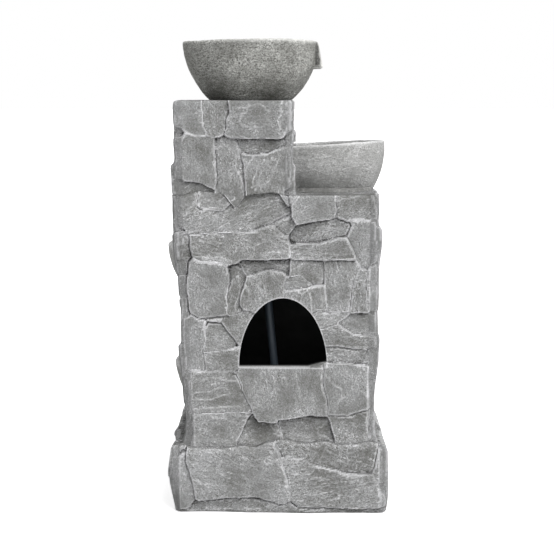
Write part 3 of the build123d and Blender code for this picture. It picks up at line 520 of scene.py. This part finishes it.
def plain_paint(points, seed):
    """Paint where there are no stones to tell apart, on tops and backs: uneven darkening and no pale edges."""
    return {
        "pale_edge": np.zeros(points.shape[:2]),
        # Tops and backs darkened unevenly
        "painted_shade_and_darkening": TOP_DARKENING + TOP_DARKENING * rough(points, TOP_DARKENING_SIZE, seed),
        "tone_and_foot_shade": np.full(points.shape[:2], -1),
        "stone_riven": np.full(points.shape[:2], 0.5),
        "split_grain": points,
    }


def bed_joint(points, side):
    """How far the joint under the top block strays up or down, level again where the shelf is bare."""
    under_block = ease((side - points[..., 0]) / BED_RUN_OUT)
    return BED_WANDER * rough(points * (1, 1, 0), BED_SIZE, 300, 3) * under_block, under_block


def core_ring(sides, columns, level):
    """Every column's point in mm on a core's outside, at one level."""
    return np.insert(block_outline(sides, columns), 2, level, axis=1)


def stone_skin(
    name, node, core_low, core_high, low, core_top, hole,
    seed, shape, top_round, foot_round, bulge, top_rough,
    bed=None, parting=None, rim_stray=0, bare_cells=FOOTPRINT_CELLS,
):
    """One block's stone skin: split walls, a top with a hole in it, and a plain back on the core. bed says
    which end lies in the wandering bed joint, and the side at which that joint runs out level."""
    high = core_top + face_thick
    share = np.linspace(0, 1, int((high - low) / GRID_UP) + 1)
    sides = [a + (b - a) * share for a, b in zip(grown(core_low, face_thick), grown(core_high, face_thick))]
    columns = wall_columns(core_high[1] - core_high[0], core_high[3] - core_high[2])
    flat = block_outline(sides, columns)
    up = np.broadcast_to((low + (high - low) * share)[:, None], flat.shape[:2])
    wall = np.dstack([flat, up])
    out = np.zeros_like(wall)
    out[..., 0], out[..., 1] = columns[2], columns[3]
    along = np.dstack([-out[..., 1], out[..., 0], out[..., 2]])

    relief, paint = split_stones(wall, out, along, *facing_faces(node), seed, bare_cells)
    relief = relief + bulge * (swell(wall, BULGE_SIZE, seed + 21) + 0.35) * np.sin(math.pi * share)[:, None]
    bare = 1 + 0.6 * swell(wall * (1, 1, 0), RIM_WEAR_SIZE, seed + 29)
    stray = rim_stray * np.clip(0.4 + rough(wall * (1, 1, 0), RIM_STRAY_SIZE, seed + 27, 3), 0, 1)
    stray = stray * ease(-out[..., 1]) * ease(1 - (high - up) / RIM_REACH)
    if bed:
        stray, under_block = bed_joint(wall, bed[1])
        bare = 1 - under_block if bed[0] == "top" else bare
        stray = stray * ease(1 - (high - up if bed[0] == "top" else up - low) / BED_REACH)
    for reach, gap in ((top_round * bare, high - up), (foot_round, up - low)):
        near = np.clip(1 - gap / np.maximum(reach, 1), 0, 1)
        relief = relief - RIM_WEAR * reach * (1 - np.sqrt(1 - near**2))
    relief = np.maximum(relief + shape(wall, out), LEAST_SKIN - face_thick)
    skin = wall + out * relief[..., None]
    skin[..., 2] += stray

    rim = skin[-1]
    inner_level = high + ease(-out[-1, :, 1]) * (rim[:, 2] - high) * bool(rim_stray)
    inner = np.column_stack([hole(columns, rim), inner_level])
    inward = ((np.arange(1, CAP_ROWS + 1) / CAP_ROWS) ** CAP_CROWDING)[:, None, None]
    cap = rim + (inner - rim) * inward
    cap[:-1, :, 2] += top_rough * (rough(cap[:-1], TOP_ROUGH_SIZE, seed + 23) + 0.25)
    back = [core_ring(core_high, columns, core_top), core_ring(core_low, columns, low)]
    layers = np.concatenate([skin, cap, [inner * (1, 1, 0) + (0, 0, core_top)], back])
    rest_paint = plain_paint(layers[len(skin) :], seed + 25)
    paint = {key: np.concatenate([value, rest_paint[key]]) for key, value in paint.items()}
    if not parting:
        return [ring_piece(name, layers, paint)]
    row = int(np.argmin(abs(up[:, 0] - parting)))
    core = [a + (b - a) * share[row] for a, b in zip(core_low, core_high)]
    return parted(name, layers, paint, row, core_ring(core, columns, up[row, 0]))


def core_sides(node, level, within=0.2):
    """Left, right, rear and front in mm of a core's outside at one height."""
    points = np.array([v.co[:] for v in nodes[node].data.vertices]) / MM
    at = points[np.abs(points[:, 2] - level) < within]
    return [at[:, 0].min(), at[:, 0].max(), at[:, 1].min(), at[:, 1].max()]


def grown(sides, by):
    """Left, right, rear and front of a block that is larger all round."""
    return [sides[0] - by, sides[1] + by, sides[2] - by, sides[3] + by]


def square_hole(sides):
    """The edge of a top's hole that lies under the next block."""
    return lambda columns, rim: block_outline(sides, columns)


def hose_hole(centre, radius):
    """The edge of the round hole that the hose comes up through."""

    def hole(columns, rim):
        away = rim[:, :2] - centre
        return centre + radius * away / np.linalg.norm(away, axis=1, keepdims=True)

    return hole


def settled(piece):
    """Applies a piece's modifiers to its mesh."""
    bpy.context.view_layer.update()
    done = bpy.data.meshes.new_from_object(piece.evaluated_get(bpy.context.evaluated_depsgraph_get()))
    piece.modifiers.clear()
    piece.data = done
    return piece


def cut_arch(skin):
    """Cuts the service arch through a skin."""
    angles = np.radians(np.linspace(ARCH_START_DEG, 180, ARCH_STEPS))
    crown = np.column_stack([ARCH_HALF_WIDTH * np.cos(angles), ARCH_RISE * np.sin(angles)])
    edge = np.vstack([crown, [(ARCH_SILL_FLAT, 0)]]) + (ARCH_X, ARCH_SILL)
    count = len(edge)
    ends = [np.insert(edge, 1, y, axis=1) for y in ARCH_CUT_Y]
    sides = [(i, count + i, count + (i + 1) % count, (i + 1) % count) for i in range(count)]
    faces = [range(count), range(count, 2 * count)[::-1], *sides]
    mesh = bpy.data.meshes.new("arch_cut")
    mesh.from_pydata((np.vstack(ends) * MM).tolist(), [], faces)
    cutter = bpy.data.objects.new("arch_cut", mesh)
    scene.collection.objects.link(cutter)
    cut = skin.modifiers.new("arch", "BOOLEAN")
    cut.object, cut.operation, cut.solver = cutter, "DIFFERENCE", "EXACT"
    settled(skin)
    bpy.data.objects.remove(cutter)


def brush_lip(skin):
    """Pale paint caught on the lip of the arch."""
    places = np.empty(3 * len(skin.data.vertices), np.float32)
    skin.data.vertices.foreach_get("co", places)
    x, y, z = places.reshape(-1, 3).T / MM
    from_middle = np.hypot((x - ARCH_X) / ARCH_HALF_WIDTH, (z - ARCH_SILL) / ARCH_RISE)
    from_crown = abs(from_middle - 1) * ARCH_HALF_WIDTH
    from_sill = np.where(abs(x - ARCH_X) < ARCH_HALF_WIDTH, abs(z - ARCH_SILL), LIP_WIDTH)
    away = np.where(z > ARCH_SILL + 1, from_crown, from_sill)
    pale = np.empty(len(x), np.float32)
    painted = skin.data.attributes["pale_edge"].data
    painted.foreach_get("value", pale)
    lip = ARCH_LIP_PALE * ease(1 - away / LIP_WIDTH) * (y < foot_sides[2])
    painted.foreach_set("value", np.maximum(pale, lip).astype(np.float32))


def spread_foot(wall, out):
    """Mortar spread out unevenly where the tower stands on the plinth, and a hollow in its right side."""
    near = ease(1 - (wall[..., 2] - foot) / FOOT_REACH)
    mortar = FOOT_SPREAD * near * (0.5 + rough(wall, FOOT_SIZE, 310, 3))
    hollow = ease(1 - abs(wall[..., 2] - HOLLOW_Z) / HOLLOW_REACH) * ease(out[..., 0])
    return mortar - HOLLOW_DEPTH * hollow


def upright_walls(wall, out):
    """The top block's walls, which have nothing added to the stones."""
    return 0


def undercut(wall, out):
    """The plinth's left side, which runs in towards the ground."""
    return -UNDERCUT * ease(1 - wall[..., 2] / UNDERCUT_REACH) * ease(-out[..., 0])


tower_points = np.array([v.co[:] for v in nodes["tower_core"].data.vertices]) / MM
tank_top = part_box("plinth_tank")[1].z / MM
foot, deck = tower_points[:, 2].min(), tower_points[:, 2].max()
shelf = tower_points[tower_points[:, 0].argmax(), 2]
face_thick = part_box("tower_stone_face")[1].z / MM - deck
foot_sides, shelf_sides, deck_sides = (core_sides("tower_core", level) for level in (foot, shelf, deck))
tank_sides = core_sides("plinth_tank", 0)
hose_place = np.array(sum(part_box("bowl_grommet"), Vector()))[:2] / 2 / MM
block_side = deck_sides[1] + face_thick

tower_lower, tower_upper = stone_skin(
    "tower_stones", "tower_stone_face", foot_sides, shelf_sides, foot, shelf,
    square_hole(grown(deck_sides, -TUCKED_UNDER)),
    seed=5, shape=spread_foot, top_round=5, foot_round=0, bulge=0, top_rough=1.4,
    bed=("top", block_side), parting=PARTING_Z,
)
(block_stones,) = stone_skin(
    "block_stones", "tower_stone_face", deck_sides, deck_sides, shelf + face_thick, deck,
    hose_hole(hose_place, HOSE_HOLE_RADIUS),
    seed=40, shape=upright_walls, top_round=5, foot_round=0, bulge=0, top_rough=0.6,
    bed=("foot", block_side),
)
(plinth_stones,) = stone_skin(
    "plinth_stones", "plinth_stone_face", tank_sides, tank_sides, 0, tank_top,
    square_hole(grown(foot_sides, -TUCKED_UNDER)),
    seed=80, shape=undercut, top_round=9, foot_round=5, bulge=5, top_rough=4,
    rim_stray=PLINTH_RIM_STRAY, bare_cells=PLINTH_FOOTPRINT_CELLS,
)
cut_arch(tower_lower)
brush_lip(tower_lower)
stone_walls = {wall: "tower_stone_face" for wall in (tower_lower, tower_upper, block_stones)}
stone_walls[plinth_stones] = "plinth_stone_face"


# Bowls and what they stand on


def cast_copy(node, voxel):
    """A copy of a CAD solid as one even mesh, fine enough to take a worn surface."""
    form = bmesh.new()
    form.from_mesh(nodes[node].data)
    bmesh.ops.remove_doubles(form, verts=form.verts, dist=0.01 * MM)
    mesh = bpy.data.meshes.new(node + "_worn")
    form.to_mesh(mesh)
    form.free()
    piece = bpy.data.objects.new(node + "_worn", mesh)
    scene.collection.objects.link(piece)
    even = piece.modifiers.new("even", "REMESH")
    even.mode, even.voxel_size = "VOXEL", voxel * MM
    return settled(piece)


def mesh_points(piece):
    """Points in mm, normals and edges of a piece."""
    mesh = piece.data
    points = np.empty(3 * len(mesh.vertices), np.float32)
    mesh.vertices.foreach_get("co", points)
    normals = np.array([v.vector[:] for v in mesh.vertex_normals])
    edges = np.empty(2 * len(mesh.edges), np.int32)
    mesh.edges.foreach_get("vertices", edges)
    return points.reshape(-1, 3).astype(float) / MM, normals, edges.reshape(-1, 2)


def evened(points, edges, passes):
    """Points of a mesh, each moved halfway to the middle of its neighbours."""
    count = np.bincount(edges.ravel(), minlength=len(points))
    for _ in range(passes):
        total = np.zeros_like(points)
        np.add.at(total, edges[:, 0], points[edges[:, 1]])
        np.add.at(total, edges[:, 1], points[edges[:, 0]])
        points = 0.5 * points + 0.5 * total / np.maximum(count, 1)[:, None]
    return points


def bury(points, sides):
    """Runs the ends of a piece on into the stones of the block that it meets."""
    left, right, rear, front = sides
    nearest = np.column_stack([np.clip(points[:, 0], left, right), np.clip(points[:, 1], rear, front)])
    toward = nearest - points[:, :2]
    gap = np.linalg.norm(toward, axis=1, keepdims=True)
    pull = np.minimum(BURY_BY * ease((BURY_FROM - gap) / BURY_OVER), 0.9 * gap)
    return points + np.pad(toward / np.maximum(gap, 0.01) * pull, ((0, 0), (0, 1)))


def wear(piece, seed, wobble, pecks, marks, meets=None, soften=2, lean=(0, 0), dark_from=None):
    """Gives a cast piece hand-made unevenness and a pecked skin, and paints pale edges, painted shade in its
    hollows and, with a wash, towards its foot, and a darker spout end.
    """
    points, normals, edges = mesh_points(piece)
    points = evened(points, edges, soften)
    relief = wobble * swell(points, CAST_WOBBLE_SIZE, seed)
    relief = relief + CAST_DENT_SHARE * wobble * rough(points, CAST_DENT_SIZE, seed + 1)
    relief = relief + pecks * rough(points, PECK_SIZE, seed + 2, 2)
    low, high = points.min(0), points.max(0)
    rise = (points[:, 2] - low[2]) / (high[2] - low[2])
    points = points + normals * relief[:, None] * ease(4 * rise)[:, None]
    middle = (low + high) / 2
    sway = swell(points, BRUSH_SWAY_SIZE, seed + 4)[:, None]
    grain = points[:, (0, 2, 1)] + np.array((0, BRUSH_SWAY, 0)) * sway
    grain = grain * np.array((STREAK_LONG_MM, STREAK_WIDE_MM, STREAK_LONG_MM)) / marks
    # The end of the spout is painted darker
    spout_dark = 0 if dark_from is None else ramp(points[:, 0], dark_from, SPOUT_DARK_OVER)
    points[:, 2] += rise * ((points[:, :2] - middle[:2]) @ np.array(lean))
    hollow = ((evened(points, edges, 6) - points) * normals).sum(1)
    if meets:
        points = bury(points, meets)
    piece.data.vertices.foreach_set("co", (points * MM).astype(np.float32).ravel())
    paint = {
        "pale_edge": ease(-hollow / CAST_EDGE),
        # Painted shade in the hollows, and the end of the spout darker
        "painted_shade_and_darkening": np.maximum(ease(hollow / CAST_HOLLOW_SHADE), SPOUT_END_DARK * spout_dark),
        # Darker towards the foot: painted shade where the foot is hidden from the light, and a dark wash
        "tone_and_foot_shade": CAST_FOOT_SHADE_AND_WASH * (1 - ease(rise / CAST_FOOT_SHARE)),
        "stone_riven": np.full(len(points), 0.5),
        "split_grain": grain,
    }
    set_paint(piece.data, paint)
    return piece


# Mesh spacing in mm, then each piece's wobble and pecks in mm, and the block that its ends run into
top_bowl = wear(
    cast_copy("top_bowl", 2.0), seed=120, wobble=1.6, pecks=0.35, marks=UPRIGHT_STROKES, dark_from=SPOUT_DARK_FROM
)
right_bowl = wear(
    cast_copy("right_bowl", 2.0), seed=130, wobble=1.6, pecks=0.3, marks=UPRIGHT_STROKES, meets=deck_sides,
    lean=(0.05, -0.012),
)
left_bowl = wear(
    cast_copy("left_bowl", 2.2), seed=140, wobble=1.6, pecks=0.3, marks=UPRIGHT_STROKES, meets=shelf_sides
)
basin_bowl = wear(
    cast_copy("basin_bowl", 2.4), seed=150, wobble=1.8, pecks=0.3, marks=UPRIGHT_STROKES, meets=foot_sides
)
right_bedding = wear(
    cast_copy("right_bowl_bedding", 1.6), seed=160, wobble=1.0, pecks=0.6, marks=TROWEL_STROKES, soften=6
)
basin_bedding = wear(
    cast_copy("basin_bedding", 1.6), seed=170, wobble=1.0, pecks=0.6, marks=TROWEL_STROKES, soften=6
)
corbel = wear(
    cast_copy("left_bowl_corbel", 2.0), seed=180, wobble=3.4, pecks=1.2, marks=TROWEL_STROKES,
    meets=shelf_sides,
)
cast_pieces = {
    top_bowl: "top_bowl",
    right_bowl: "right_bowl",
    left_bowl: "left_bowl",
    basin_bowl: "basin_bowl",
    right_bedding: "right_bowl_bedding",
    basin_bedding: "basin_bedding",
    corbel: "left_bowl_corbel",
}
for piece, node in {**stone_walls, **cast_pieces}.items():
    piece.data.polygons.foreach_set("use_smooth", np.ones(len(piece.data.polygons), bool))
    piece.data.set_sharp_from_angle(angle=math.radians(60))
    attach(piece, "loose_bowl" if node == "top_bowl" else "base")
    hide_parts(node)


# Materials


def new_material(name):
    """An empty material, its node tree and its shader."""
    material = bpy.data.materials.new(name)
    material.use_nodes = True
    return material, material.node_tree, material.node_tree.nodes["Principled BSDF"]


def cast_stone(
    name, dark, light, pale, mottle_mm, mottle_share, streak_share, stroke_share, crease_share, fleck_mm,
    fleck_share, peck_mm, peck_depth_mm,
):
    """Resin-bound stone powder, cast in a mould and dry-brushed by hand: dull and mottled, with thin pale
    paint caught on the high edges and on fine ridges, and painted shade, dark in the hollows and under the
    steps between stones. The flecks stand for grains of sand and are drawn coarser than they are, so that
    they show."""
    material, tree, shader = new_material(name)
    at = add_node(tree, "ShaderNodeTexCoord").outputs["Object"]
    clouds = add_node(tree, "ShaderNodeTexNoise", {"Vector": at, "Scale": per_mm(CLOUD_MM), "Detail": 4.0})
    mottle = add_node(
        tree,
        "ShaderNodeTexNoise",
        {"Vector": at, "Scale": per_mm(mottle_mm), "Detail": 6.0, "Roughness": 0.62},
    )
    grit = add_node(tree, "ShaderNodeTexNoise", {"Vector": at, "Scale": per_mm(fleck_mm), "Detail": 3.0})
    pecks = add_node(tree, "ShaderNodeTexVoronoi", {"Vector": at, "Scale": per_mm(peck_mm)})
    # The dark attribute holds painted shade in hollows and under steps, and other darkening; the tone
    # attribute also holds the painted shade at a bowl's foot
    tone, riven, joint, edge = (
        add_node(tree, "ShaderNodeAttribute", attribute_name=paint).outputs["Fac"]
        for paint in ("tone_and_foot_shade", "stone_riven", "painted_shade_and_darkening", "pale_edge")
    )

    # Noise drawn out along the grain of each stone: streaks of the split, strokes of the brush, and creases
    grain = add_node(tree, "ShaderNodeAttribute", attribute_name="split_grain").outputs["Vector"]
    drawn_out = []
    for long, wide, detail, wave in (
        (STREAK_LONG_MM, STREAK_WIDE_MM, 4.0, 0.5),
        (STROKE_LONG_MM, STROKE_WIDE_MM, 0.0, 2.0),
        (CREASE_LONG_MM, CREASE_WIDE_MM, 2.0, 1.2),
    ):
        lengthwise = add_node(
            tree, "ShaderNodeVectorMath", {0: grain, 1: (1 / long, 1 / wide, 1 / long)}, operation="MULTIPLY"
        )
        look = {"Scale": 1.0, "Detail": detail, "Roughness": 0.6, "Distortion": wave}
        drawn_out.append(add_node(tree, "ShaderNodeTexNoise", {"Vector": lengthwise, **look}))
    streaks, strokes, creases = drawn_out

    # Streaks show most on riven stones; a crease is a thin pale line of paint with a painted shadow, a dark
    # line, beside it
    drawn = add_node(tree, "ShaderNodeMath", {0: riven, 1: streak_share}, operation="MULTIPLY")
    streak = add_node(tree, "ShaderNodeMath", {0: streaks, 1: 0.5}, operation="SUBTRACT")
    streak = add_node(tree, "ShaderNodeMath", {0: streak, 1: drawn}, operation="MULTIPLY")
    split = add_node(tree, "ShaderNodeMath", {0: riven, 1: 0.2, 2: clouds}, operation="MULTIPLY_ADD")
    split = add_node(
        tree, "ShaderNodeMapRange", {"Value": split, "From Min": 0.47, "From Max": 0.66, "To Min": 0.1}
    )
    lines = []
    for level, share in ((0.5, crease_share), (0.56, -0.6 * crease_share)):
        line = add_node(tree, "ShaderNodeMath", {0: creases, 1: level}, operation="SUBTRACT")
        line = add_node(tree, "ShaderNodeMath", {0: line}, operation="ABSOLUTE")
        line = add_node(
            tree, "ShaderNodeMapRange", {"Value": line, "From Max": 0.035, "To Min": share, "To Max": 0.0}
        )
        lines.append(add_node(tree, "ShaderNodeMath", {0: line, 1: split}, operation="MULTIPLY"))
    crease, crease_shadow = lines

    # Body colour from dark to light, and the painted shade in hollows and under steps over it
    shade = clouds
    for pattern, share in ((tone, TONE_SHARE), (mottle, mottle_share), (strokes, stroke_share)):
        shade = add_node(tree, "ShaderNodeMath", {0: pattern, 1: share, 2: shade}, operation="MULTIPLY_ADD")
    # The dark line beside each crease darkens the body as a painted shadow
    for pattern in (streak, crease_shadow):
        shade = add_node(tree, "ShaderNodeMath", {0: shade, 1: pattern}, operation="ADD")
    usual = 0.5 * (stroke_share + mottle_share)
    shade = add_node(
        tree, "ShaderNodeMapRange", {"Value": shade, "From Min": 0.22 + usual, "From Max": 0.78 + usual}
    )
    body = add_node(
        tree, "ShaderNodeMix", {"Factor": shade, "A": srgb(dark), "B": srgb(light)}, data_type="RGBA"
    )
    # Painted shade mixed over the body colour
    shade_painted = add_node(
        tree, "ShaderNodeMix", {"Factor": joint, "A": body, "B": srgb(PAINTED_SHADE_COLOUR)}, data_type="RGBA"
    )

    # Pale paint, caught on edges, creases and scratches and as flecks that come in patches
    scratch = add_node(
        tree, "ShaderNodeMapRange", {"Value": streak, "From Min": 0.04, "From Max": 0.2, "To Max": 0.6}
    )
    fleck = add_node(
        tree, "ShaderNodeMapRange", {"Value": grit, "From Min": 0.5, "From Max": 0.66, "To Max": fleck_share}
    )
    patch = add_node(
        tree,
        "ShaderNodeMapRange",
        {"Value": clouds, "From Min": 0.42, "From Max": 0.6, "To Min": 0.35, "To Max": 1.15},
    )
    fleck = add_node(tree, "ShaderNodeMath", {0: fleck, 1: patch}, operation="MULTIPLY")
    fleck = add_node(tree, "ShaderNodeMath", {0: fleck, 1: crease}, operation="ADD")
    caught = add_node(tree, "ShaderNodeMath", {0: edge, 1: 0.95, 2: fleck}, operation="MULTIPLY_ADD")
    caught = add_node(tree, "ShaderNodeMath", {0: caught, 1: scratch}, operation="ADD", use_clamp=True)
    brushed = add_node(
        tree, "ShaderNodeMix", {"Factor": caught, "A": shade_painted, "B": srgb(pale)}, data_type="RGBA"
    )

    # Fine relief, in which the same patterns stand up or are pecked in
    depth = mottle
    relief = ((pecks, peck_depth_mm), (grit, 0.6), (streak, 1.0), (strokes, 1.1), (crease, 1.0))
    for pattern, share in relief:
        depth = add_node(tree, "ShaderNodeMath", {0: pattern, 1: share, 2: depth}, operation="MULTIPLY_ADD")
    bump = add_node(tree, "ShaderNodeBump", {"Height": depth, "Distance": 1.2 * MM, "Strength": 0.9})
    dull = add_node(tree, "ShaderNodeMapRange", {"Value": mottle, "To Min": 0.8, "To Max": 0.98})
    fill(tree, shader, {"Base Color": brushed, "Roughness": dull, "Normal": bump})
    fill(tree, shader, {"IOR": 1.5, "Specular IOR Level": 0.25})
    return material


# Cast stone of the walls, moulded from split stones: mid grey, riven and streaked, with pale brushed edges
split_stone = cast_stone(
    "cast_stone_split", "#6e6e6a", "#a8a9aa", "#f4f4f6",
    mottle_mm=10, mottle_share=0.4, streak_share=0.8, stroke_share=0.7, crease_share=0.7,
    fleck_mm=2.4, fleck_share=0.4, peck_mm=9, peck_depth_mm=0.3,
)
# Cast stone of the top bowl, pecked all over: speckled dark and light, with no smooth patch
pecked_stone = cast_stone(
    "cast_stone_pecked", "#62625d", "#b0b0ac", "#f4f4f0",
    mottle_mm=8, mottle_share=0.3, streak_share=0.5, stroke_share=1.5, crease_share=0.6,
    fleck_mm=2.2, fleck_share=0.5, peck_mm=4.5, peck_depth_mm=0.8,
)
# Cast stone of the other bowls, rubbed smoother: lighter and more even, with soft upright strokes
rubbed_stone = cast_stone(
    "cast_stone_rubbed", "#8e8e8c", "#c4c4c3", "#f4f4f4",
    mottle_mm=14, mottle_share=0.4, streak_share=0.5, stroke_share=1.1, crease_share=0.6,
    fleck_mm=2.2, fleck_share=0.5, peck_mm=8, peck_depth_mm=0.3,
)
# Mortar, trowelled: a duller grey with blotches, darkened as painted shade under the bowls' feet, and little
# pale paint on it
shaded_mortar = cast_stone(
    "mortar_trowelled_painted_shade", "#6a6a68", "#90908e", "#c4c4c2",
    mottle_mm=8, mottle_share=0.7, streak_share=0.4, stroke_share=0.7, crease_share=0.2,
    fleck_mm=4, fleck_share=0.3, peck_mm=12, peck_depth_mm=0.3,
)


def moulded(name, dark, light, mottle_mm, roughness, texture_mm, texture_depth_mm, ior):
    """A moulded or extruded piece: one colour that is a little uneven, with a fine surface texture, which is
    drawn coarser than it is so that it shows."""
    material, tree, shader = new_material(name)
    at = add_node(tree, "ShaderNodeTexCoord").outputs["Object"]
    mottle = add_node(tree, "ShaderNodeTexNoise", {"Vector": at, "Scale": per_mm(mottle_mm), "Detail": 5.0})
    texture = add_node(
        tree, "ShaderNodeTexNoise", {"Vector": at, "Scale": per_mm(texture_mm), "Detail": 3.0}
    )
    colour = add_node(
        tree, "ShaderNodeMix", {"Factor": mottle, "A": srgb(dark), "B": srgb(light)}, data_type="RGBA"
    )
    gloss = add_node(
        tree, "ShaderNodeMapRange", {"Value": mottle, "To Min": roughness[0], "To Max": roughness[1]}
    )
    bump = add_node(
        tree, "ShaderNodeBump", {"Height": texture, "Distance": texture_depth_mm * MM, "Strength": 0.6}
    )
    fill(tree, shader, {"Base Color": colour, "Roughness": gloss, "Normal": bump, "IOR": ior})
    return material


# Glass-fibre laminate, hand laid: near black, matt and wavy, with nothing of it catching the light
laminate = moulded(
    "glass_fibre_laminate_black", "#090909", "#121212",
    mottle_mm=30, roughness=(0.75, 0.95), texture_mm=4, texture_depth_mm=0.8, ior=1.55,
)
# Soft PVC hose, extruded: dark blue grey with a soft sheen along its length
hose_vinyl = moulded(
    "soft_pvc_extruded", "#333c45", "#414b55",
    mottle_mm=40, roughness=(0.5, 0.62), texture_mm=8, texture_depth_mm=0.15, ior=1.53,
)
# ABS, injection moulded with a fine spark texture: black and satin
pump_abs = moulded(
    "abs_moulded_black", "#17181a", "#222325",
    mottle_mm=25, roughness=(0.42, 0.6), texture_mm=1.6, texture_depth_mm=0.12, ior=1.54,
)
# Acetal, injection moulded: mid grey and a little waxy
dial_acetal = moulded(
    "acetal_moulded_grey", "#7d8184", "#8e9294",
    mottle_mm=20, roughness=(0.3, 0.42), texture_mm=2, texture_depth_mm=0.06, ior=1.48,
)
# Rigid PVC pipe, extruded: pale grey, smooth, with faint drawing marks
pipe_pvc = moulded(
    "rigid_pvc_extruded", "#7f8386", "#8f9396",
    mottle_mm=30, roughness=(0.35, 0.5), texture_mm=6, texture_depth_mm=0.1, ior=1.53,
)
# Nitrile rubber, moulded: black, matt, dusty
rubber = moulded(
    "nitrile_rubber_moulded", "#1b1b1b", "#2b2b2a",
    mottle_mm=12, roughness=(0.7, 0.9), texture_mm=2, texture_depth_mm=0.1, ior=1.52,
)
# Bonded ferrite, ground: dark grey with a dull metallic grain
ferrite = moulded(
    "ferrite_ground", "#2f3033", "#47484c",
    mottle_mm=6, roughness=(0.4, 0.6), texture_mm=1.5, texture_depth_mm=0.08, ior=2.2,
)
# Alumina ceramic, ground and polished: warm white and glossy
alumina = moulded(
    "alumina_polished", "#e6e3d8", "#f0eee6",
    mottle_mm=15, roughness=(0.12, 0.2), texture_mm=1.5, texture_depth_mm=0.02, ior=1.76,
)

finishes = {
    laminate: ["tower_core", "plinth_tank"],
    hose_vinyl: ["riser_hose"],
    pump_abs: ["pump_housing", "pump_volute", "strainer_cover"],
    dial_acetal: ["flow_dial", "impeller"],
    pipe_pvc: ["return_standpipe"],
    rubber: ["bowl_grommet", "volute_seal", "rear_bush", "front_bush", "suction_feet", "cable_gland"],
    ferrite: ["rotor_magnet"],
    alumina: ["rotor_shaft"],
}
for material, names in finishes.items():
    for name in names:
        nodes[name].data.materials.clear()
        nodes[name].data.materials.append(material)
piece_stone = {right_bedding: shaded_mortar, basin_bedding: shaded_mortar}
piece_stone.update({bowl: rubbed_stone for bowl in (right_bowl, left_bowl, basin_bowl)})
piece_stone[top_bowl] = pecked_stone
for piece in [*stone_walls, *cast_pieces]:
    piece.data.materials.clear()
    piece.data.materials.append(piece_stone.get(piece, split_stone))


# Floor, light and camera


def seen(tree):
    """1 where the camera sees a surface, straight or by way of a shiny or clear one, and 0 where the surface
    only throws light back."""
    ray = add_node(tree, "ShaderNodeLightPath").outputs
    direct = add_node(
        tree, "ShaderNodeMath", {0: ray["Is Camera Ray"], 1: ray["Is Glossy Ray"]}, operation="ADD"
    )
    return add_node(
        tree, "ShaderNodeMath", {0: direct, 1: ray["Is Transmission Ray"]}, operation="ADD", use_clamp=True
    )


corners = [(-1, -1), (1, -1), (1, 1), (-1, 1)]
floor_mesh = bpy.data.meshes.new("floor")
floor_mesh.from_pydata([(x * FLOOR_REACH, y * FLOOR_REACH, 0) for x, y in corners], [], [(0, 1, 2, 3)])
floor = bpy.data.objects.new("floor", floor_mesh)
scene.collection.objects.link(floor)

# White paper: it looks white to the camera and in reflections, and throws less light back at the object
paper, tree, shader = new_material("paper_matt_white")
shown = seen(tree)
colour = add_node(
    tree, "ShaderNodeMix", {"Factor": shown, "A": srgb("#c4c4c4"), "B": srgb("#fbfbfb")}, data_type="RGBA"
)
lift = add_node(tree, "ShaderNodeMath", {0: shown, 1: 0.56}, operation="MULTIPLY")
fill(tree, shader, {"Base Color": colour, "Emission Strength": lift, "Emission Color": (1, 1, 1, 1)})
fill(tree, shader, {"Roughness": 0.95, "Specular IOR Level": 0.0})
floor.data.materials.append(paper)

world = bpy.data.worlds.new("studio")
world.use_nodes = True
tree = world.node_tree
level = add_node(tree, "ShaderNodeMapRange", {"Value": seen(tree), "To Min": 0.34, "To Max": 1.0})
fill(tree, tree.nodes["Background"], {"Strength": level, "Color": (1, 1, 1, 1)})
scene.world = world

# Large soft lamp above and to the right of the camera, and a weaker one opposite that opens up the far side
for name, energy, angle, tilt, bearing in (("key", 2.85, 42, 45, 40), ("fill", 1.5, 90, 55, 172)):
    lamp = bpy.data.lights.new(name, "SUN")
    lamp.energy = energy
    lamp.angle = math.radians(angle)
    light = bpy.data.objects.new(name, lamp)
    light.rotation_euler = (math.radians(tilt), 0, math.radians(bearing))
    scene.collection.objects.link(light)

lens = bpy.data.cameras.new("camera")
lens.sensor_width = SENSOR_MM
lens.lens = SENSOR_MM * LENS_PX / FRAME_PX
camera = bpy.data.objects.new("camera", lens)
camera.location = Vector(CAMERA_PLACE_MM) * MM
camera.rotation_euler = (math.radians(90 - CAMERA_PITCH_DEG), 0, 0)
scene.collection.objects.link(camera)
scene.camera = camera
scene.view_settings.view_transform = "Standard"
